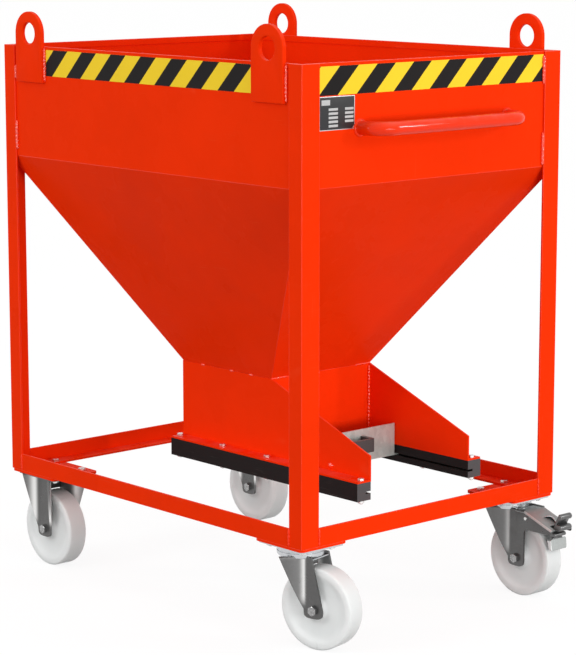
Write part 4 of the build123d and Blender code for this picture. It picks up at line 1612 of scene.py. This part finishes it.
    def scoop(self, slope: Matrix) -> tuple[list[Point2], list[Mesh]]:
        """Pressed scoop that opens towards the front left corner.

        Args:
            slope: Takes the hood's sloping plane into place.

        Returns:
            The hole under the scoop, then its roof, its rim bead in pale zinc as a painted highlight and a dark
            plate below as painted shade.
        """
        start, pull, stop = map(Vector, self.scoop_line)
        mouth, back, path, roof, rim, beads = [], [], [], [], [], []
        for step in range(self.scoop_steps + 1):
            t = step / self.scoop_steps
            first, second = start.lerp(pull, t), pull.lerp(stop, t)
            here, way = first.lerp(second, t), (second - first).normalized()
            swell = math.sin(math.pi * (self.swell_span[0] + self.swell_span[1] * t)) ** self.swell_power
            width, height = self.scoop_width * swell, self.scoop_height * swell
            mouth.append(tuple(here))
            inward = self.scoop_back * width
            back.append((here.x + inward * way.y, here.y - inward * way.x))
            path.append(slope @ Vector((here.x, here.y, 0.0)))
            roof.append([
                (0.0, height), (-width / 2, self.scoop_back * height), (-width, self.scoop_lap),
                (-width, -2 * self.scoop_lap), (0.0, height - self.scoop_sheet),
            ])
            rim.append(slope @ Vector((here.x, here.y, self.scoop_lap - height)))
            # pale ring zinc bead along the scoop's raised edge: a painted highlight
            beads.append(circle(self.rim_bead[0] + self.rim_bead[1] * swell, 10))
        up = slope.to_3x3() @ -Z_AXIS
        below = slope @ Matrix.Translation((0.0, 0.0, self.sheet))
        # dark plate under the opening: painted shade that makes the opening read black
        shade_plate = plate([rectangle(*self.shade_plate)], self.shade_plate_sheet, self.shade_plate_edge, below)
        scoop = [numbered(swept(path, roof, up), 1), numbered(swept(rim, beads, up), 2), numbered(shade_plate, 4)]
        return [*mouth, *reversed(back)], scoop

    def web_rear(self, height: float) -> float:
        """Back of the pedal's leaning web at a height above the pin."""
        return self.web_foot - self.lean * height

    def comb(self) -> list[Point2]:
        """Outline of the pedal's web and ribs.

        Returns:
            Points along and up from the pin.
        """
        first, last = self.ribs[0], self.ribs[-1]
        top, foot = first.rise + first.height / 2, last.rise - last.height / 2
        outline = [(self.web_rear(top) + self.comb_lap, top)]
        for rib in self.ribs:
            radius = rib.height / 2
            if rib is not first:
                outline.append((self.web_rear(rib.rise + radius) - self.web, rib.rise + radius))
            outline += arc((radius - rib.reach, rib.rise), radius, 90.0, 270.0, 12)
            if rib is not last:
                outline.append((self.web_rear(rib.rise - radius) - self.web, rib.rise - radius))
        return [*outline, (self.web_rear(foot), foot)]

    def shoe(self, top: Point2, low: Point2) -> list[Mesh]:
        """Pale brake shoe that hangs from the pedal's foot, with flanges beside the tread in a paler zinc as a
        painted highlight.

        Args:
            top: Upper end of its face, along and up from the pin.
            low: Lower end.

        Returns:
            The meshes of face and flanges.
        """
        upper, lower = Vector((0.0, *top)), Vector((0.0, *low))
        down, length = (lower - upper).normalized(), (lower - upper).length
        corner, lift = self.shoe_corner, self.flange_lift
        outline = rounded(self.shoe_width / 2 - corner, corner, length - corner, corner, 5)
        face = plate([outline], self.shoe_sheet, self.pedal_edge, standing(X_AXIS, down, upper))
        flange = [
            (upper.y, upper.z - corner), (lower.y, lower.z + lift),
            (lower.y + self.flange_depth[0], lower.z + lift),
            (upper.y + self.flange_depth[1], upper.z - corner),
        ]
        meshes = [numbered(face, 1)]
        for way in (-1, 1):
            middle = way * (self.shoe_width / 2 - lift)
            meshes.append(numbered(self.profile(flange, self.sheet, self.soft, middle), 2))
        return meshes

    def pedal(self) -> list[Mesh]:
        """Ribbed pedal with lever, hub and shoe.

        Returns:
            Their meshes, placed from the pin.
        """
        foot = self.ribs[-1].rise - self.ribs[-1].height / 2
        rear, width = self.web_rear(foot), self.pedal_width
        ends = [(rear + back, foot + rise) for back, rise in self.lever_ends]
        lever = [(0.0, 0.0), *ends, (0.0, -self.lever_root)]
        low, high = foot - self.neck_drop, foot + self.neck_lap
        neck = [(self.neck_foot[0], low), (rear, high), (rear - self.web, high), (self.neck_foot[1], low)]
        stand = standing(Y_AXIS, Z_AXIS, (-width / 2, 0.0, 0.0))
        along, drop = self.shoe_top
        return [
            self.profile(self.comb(), width, self.pedal_edge),
            self.profile(lever, width, self.soft),
            self.profile(neck, width - self.neck_inset, self.soft),
            plate([circle(self.hub, 32), hole(self.bore, 32)], width, self.soft, stand),
            *self.shoe((along, foot + drop), self.shoe_low),
        ]

    def build(self) -> None:
        """Builds hood and pedal in the place of their nodes."""
        low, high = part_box("brake_housing")
        base = Matrix.Translation(((low.x + high.x) / 2, low.y - self.hood_front, 0.0))
        shell = self.hood(high.z)
        for way in (-1, 1):
            shell += [self.cheek(way, high.z, low.z), self.bend(way, high.z)]
        # cheeks in pressed zinc, the hood's top in its lighter copy as painted light, ring and fold zinc as
        # painted highlights, dark plastic as painted shade under the scoop
        finishes = (CASTOR_ZINC, HOOD_ZINC, RING_ZINC, BEND_ZINC, GRIP_DARK)
        mesh = moved(merged(shell), base)
        piece("brake_hood_pressing", mesh, finishes, "swivel_right", ["brake_housing"])
        mesh = moved(merged(self.pedal()), base @ Matrix.Translation((0.0, *self.pin)))
        # pedal zinc, shoe zinc, and the shoe's flanges in a paler copy as a painted highlight
        finishes = (BRAKE_ZINC, SHOE_ZINC, SHOE_EDGE)
        piece("brake_pedal_comb", mesh, finishes, "brake_pedal", ["brake_pedal"])


@dataclass(frozen=True)
class Bead:
    """Weld bead: a rippled rope that swells at each drop."""

    radius: float
    step: float = 0.001
    drop: float = 0.0086
    thin: float = 0.78
    swell: float = 0.36
    unrest: float = 0.5
    unrest_rate: float = 97.0
    sway: float = 0.1
    sway_rate: float = 233.0
    taper: float = 1.6
    tip: float = 0.05
    sides: int = 12

    def between(self, start: Vector, stop: Vector, side: Vector) -> Mesh:
        """Lays the bead between two points.

        Args:
            start: First end.
            stop: Second end.
            side: Any direction across the seam.

        Returns:
            The bead's mesh.
        """
        length = (stop - start).length
        steps = max(6, round(length / self.step))
        taper = self.taper * self.radius
        path, rings = [], []
        for step in range(steps + 1):
            along = step / steps
            place = along * length
            drops = math.pi * place / self.drop + self.unrest * math.sin(place * self.unrest_rate)
            ripple = self.thin + self.swell * abs(math.sin(drops))
            ends = math.sqrt(max(self.tip, min(1.0, place / taper, (length - place) / taper)))
            sway = self.sway * self.radius * math.sin(place * self.sway_rate)
            path.append(start.lerp(stop, along) + side * sway)
            rings.append(circle(self.radius * ripple * ends, self.sides))
        return swept(path, rings, side)


@dataclass
class Welds:
    """Painted weld seams between bars, sheets and lifting eyes."""

    seam: Bead = Bead(0.0036)
    fine: Bead = Bead(0.0024)
    lift: float = 0.002
    skirt: float = 0.004
    right_spans: tuple[Point2, ...] = ((0.9915, 1.0656), (1.1726, 1.237))
    rear_spans: tuple[Point2, ...] = ((1.0035, 1.071), (1.168, 1.2))
    eye_gap: float = 0.003
    post_gap: float = 0.002
    chute_gap: Point2 = (0.045, 0.004)
    chute_stitch: float = 0.05
    stitch_spots: tuple[float, ...] = (0.131, 0.028, -0.039)
    stitch_half: float = 0.007
    sharp: float = 60.0
    plug: Point2 = (-0.306, 0.3494)
    plug_profile: tuple[Point2, ...] = (
        (-0.001, 0.0), (-0.001, 0.007), (0.0006, 0.0068), (0.002, 0.0055), (0.003, 0.003), (0.0033, 0.0),
    )

    def upright(self, x: float, y: float, low: float, high: float) -> Mesh:
        """Standing seam in a corner."""
        return self.seam.between(Vector((x, y, low)), Vector((x, y, high)), X_AXIS)

    def stitch(self, start: Sequence[float], stop: Sequence[float]) -> Mesh:
        """Fine seam between two points."""
        return self.fine.between(Vector(start), Vector(stop), Vector((1, 1, 1)).normalized())

    def corner(self, end: End, side: Side) -> list[Mesh]:
        """Seams of one post with walls, rails and its lifting eye.

        Args:
            end: End at which the post stands.
            side: Side on which it stands.

        Returns:
            The seams' meshes.
        """
        low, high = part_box(f"post_{end.word}_{side.word}")
        wall_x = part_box(f"hopper_wall_{side.word}")[side is Side.RIGHT].x
        wall_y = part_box(f"hopper_wall_{end.word}")[end is End.REAR].y
        outer_x, inner_x = (low.x, high.x) if side is Side.LEFT else (high.x, low.x)
        outer_y, inner_y = (low.y, high.y) if end is End.FRONT else (high.y, low.y)
        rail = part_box(f"rail_{side.word}")[1].z
        seams = []
        for place in ((outer_x, inner_y), (inner_x, outer_y)):
            seams.append(numbered(self.stitch((*place, low.z + self.post_gap), (*place, rail)), 1))
        lift_x, lift_y = side.value * self.lift, end.value * self.lift
        if side is Side.RIGHT:
            place = (inner_x - lift_x, wall_y + lift_y)
            seams += [self.upright(*place, *span) for span in self.right_spans]
        if end is End.REAR:
            place = (wall_x + lift_x, inner_y - lift_y)
            seams += [self.upright(*place, *span) for span in self.rear_spans]
        eye_low, eye_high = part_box(f"lifting_eye_{end.word}_{side.word}")
        for along in (eye_low.y - self.lift, eye_high.y + self.lift):
            span = (eye_low.z + self.eye_gap, high.z - self.post_gap)
            seams.append(self.upright(wall_x + lift_x, along, *span))
        return seams

    def outlet(self) -> list[Mesh]:
        """Stitches round the chute's top, seams down its front corners and a plug weld on each skirt.

        Returns:
            The seams' meshes.
        """
        low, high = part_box("chute_front_wall")
        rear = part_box("chute_rear_wall")[1].y
        height, half = high.z, self.stitch_half
        seams = []
        for side in Side:
            outer = side.value * (high.x + self.skirt)
            for spot in self.stitch_spots:
                seams.append(self.stitch((outer, spot - half, height), (outer, spot + half, height)))
            turn = Matrix.Rotation(math.pi * (side is Side.LEFT), 4, "Z")
            plug = Matrix.Translation((outer, *self.plug)) @ turn
            seams.append(lathe(self.plug_profile, plug, 32, closed=False))
            inner = side.value * (high.x - self.lift)
            span = (low.z + self.chute_gap[0], height - self.chute_gap[1])
            seams.append(self.upright(inner, low.y - self.lift, *span))
            stop = outer - side.value * self.chute_stitch
            for along in (low.y, rear):
                seams.append(self.stitch((outer, along, height), (stop, along, height)))
        return seams

    def build(self) -> None:
        """Lays all seams in one piece."""
        seams = [seam for end in End for side in Side for seam in self.corner(end, side)]
        mesh = merged([*seams, *self.outlet()], self.sharp)
        piece("weld_seams", mesh, (ENAMEL_WELD, ENAMEL_EDGE), "frame")


@dataclass(frozen=True)
class Lamp:
    """One soft lamp of the studio."""

    name: str
    place: Point3
    size: Point2
    power: float

    def build(self, aim: Vector) -> None:
        """Hangs the lamp up.

        Args:
            aim: Point that it shines at.
        """
        light = bpy.data.lights.new(self.name, "AREA")
        light.shape, light.energy = "RECTANGLE", self.power
        light.size, light.size_y = self.size
        place = Vector(self.place)
        turn = (aim - place).to_track_quat("-Z", "Y").to_matrix().to_4x4()
        placed(self.name, light).matrix_world = Matrix.Translation(place) @ turn


@dataclass
class Studio:
    """White studio with a large soft front light, two smaller ones and the camera."""

    camera_place: Point3 = (-3.6911, -4.1305, 1.5484)
    yaw: float = 41.82
    pitch: float = 9.69
    lens: float = 133.24
    sensor: float = 36.0
    view_end: float = 200.0
    shift: Point2 = (-0.0055, -0.0008)
    ambient: float = 0.74
    overhead: float = 0.88
    floor_half: float = 60.0
    floor_unseen: Colour = (0.28, 0.28, 0.28)
    floor_seen: Colour = (0.95, 0.95, 0.95)
    floor_glow: float = 1.03
    glow_share: float = 0.86
    aim: Point3 = (0.0, 0.0, 0.6)
    lamps: tuple[Lamp, ...] = (
        Lamp("key_front", (-0.7, -6.3, 0.75), (3.2, 1.4), 170.0),
        Lamp("key_right", (3.26, -4.15, 2.5), (0.14, 0.9), 50.0),
        Lamp("side_left", (-4.6, 0.9, 2.2), (1.5, 1.5), 58.0),
    )

    def seen_white(self, kit: NodeKit) -> NodeSocket:
        """Mask of the rays that show the background itself: to the camera, in gloss and through glass.

        Args:
            kit: Node kit of the world or the floor.

        Returns:
            1 for such a ray, 0 for others.
        """
        path = kit.add("ShaderNodeLightPath").outputs
        seen = kit.math("MAXIMUM", path["Is Camera Ray"], path["Is Glossy Ray"])
        return kit.math("MAXIMUM", seen, path["Is Transmission Ray"])

    def world(self) -> None:
        """Soft light from all round, a little more from above, in front of a white background."""
        world = bpy.data.worlds.new("white_studio")
        world.use_nodes = True
        bpy.context.scene.world = world
        kit = NodeKit(world.node_tree)
        up = kit.axes(kit.add("ShaderNodeTexCoord").outputs["Generated"])[2]
        soft = kit.remap(up, 0.0, 1.0, self.ambient, self.overhead)
        level = kit.remap(self.seen_white(kit), 0.0, 1.0, soft, 1.0)
        sky = kit.add("ShaderNodeBackground", {"Color": WHITE, "Strength": level})
        kit.add("ShaderNodeOutputWorld", {"Surface": sky.outputs[0]})

    def floor(self) -> None:
        """Pale floor that keeps the object's shadow."""
        material = bpy.data.materials.new("studio_floor")
        material.use_nodes = True
        kit = NodeKit(material.node_tree)
        seen = self.seen_white(kit)
        share = kit.math("MULTIPLY", seen, self.glow_share)
        matt = kit.add("ShaderNodeBsdfDiffuse", {"Color": kit.blend(seen, self.floor_unseen, self.floor_seen)})
        glow = kit.add("ShaderNodeEmission", {"Color": WHITE, "Strength": self.floor_glow})
        mixed = kit.add("ShaderNodeMixShader", {0: share, 1: matt.outputs[0], 2: glow.outputs[0]})
        kit.add("ShaderNodeOutputMaterial", {"Surface": mixed.outputs[0]})
        mesh = bpy.data.meshes.new("studio_floor")
        reach = (-self.floor_half, self.floor_half)
        mesh.from_pydata([(x, y, 0.0) for x, y in rectangle(reach, reach)], [], [(0, 1, 2, 3)])
        mesh.materials.append(material)
        floor = placed("studio_floor", mesh)

    def camera(self) -> None:
        """Camera at the photograph's viewing angle."""
        camera = bpy.data.cameras.new("camera")
        camera.lens, camera.sensor_width, camera.clip_end = self.lens, self.sensor, self.view_end
        camera.shift_x, camera.shift_y = self.shift
        yaw, pitch = math.radians(self.yaw), math.radians(self.pitch)
        level = math.cos(pitch)
        ahead = Vector((math.sin(yaw) * level, math.cos(yaw) * level, -math.sin(pitch)))
        right = Vector((math.cos(yaw), -math.sin(yaw), 0.0))
        turn = Matrix((right, right.cross(ahead), -ahead)).transposed().to_4x4()
        holder = placed("camera", camera)
        holder.matrix_world = Matrix.Translation(self.camera_place) @ turn
        bpy.context.scene.camera = holder

    def build(self) -> None:
        """Makes world, floor, lamps and camera."""
        bpy.context.scene.view_settings.view_transform = "Standard"
        self.world()
        self.floor()
        for lamp in self.lamps:
            lamp.build(Vector(self.aim))
        self.camera()


def main() -> None:
    """Builds the sub-assemblies in order."""
    logging.basicConfig(level=logging.INFO, format="%(name)s: %(message)s")
    flare = {"flare": 0.038, "top": 0.2225, "shoulder": 0.006, "glint": 0.0325, "glint_width": 0.0062}
    groups = [
        FrameBars(), Hopper(), LiftingEyes(), PushHandle(), Markings(),
        Castor(CastorKind.SWIVEL, End.FRONT, Side.LEFT, turn=LEFT_TURN, trail=0.055),
        # the brake castor's painted highlight is weaker
        Castor(CastorKind.SWIVEL, End.FRONT, Side.RIGHT, trail=0.055, straight_front=True, shine=0.45),
        Castor(CastorKind.FIXED, End.REAR, Side.LEFT, **flare),
        Castor(CastorKind.FIXED, End.REAR, Side.RIGHT, **flare),
        Fasteners(), SlideGate(), Brake(), Welds(), Studio(),
    ]
    for group in groups:
        group.build()


if __name__ == "__main__":
    main()
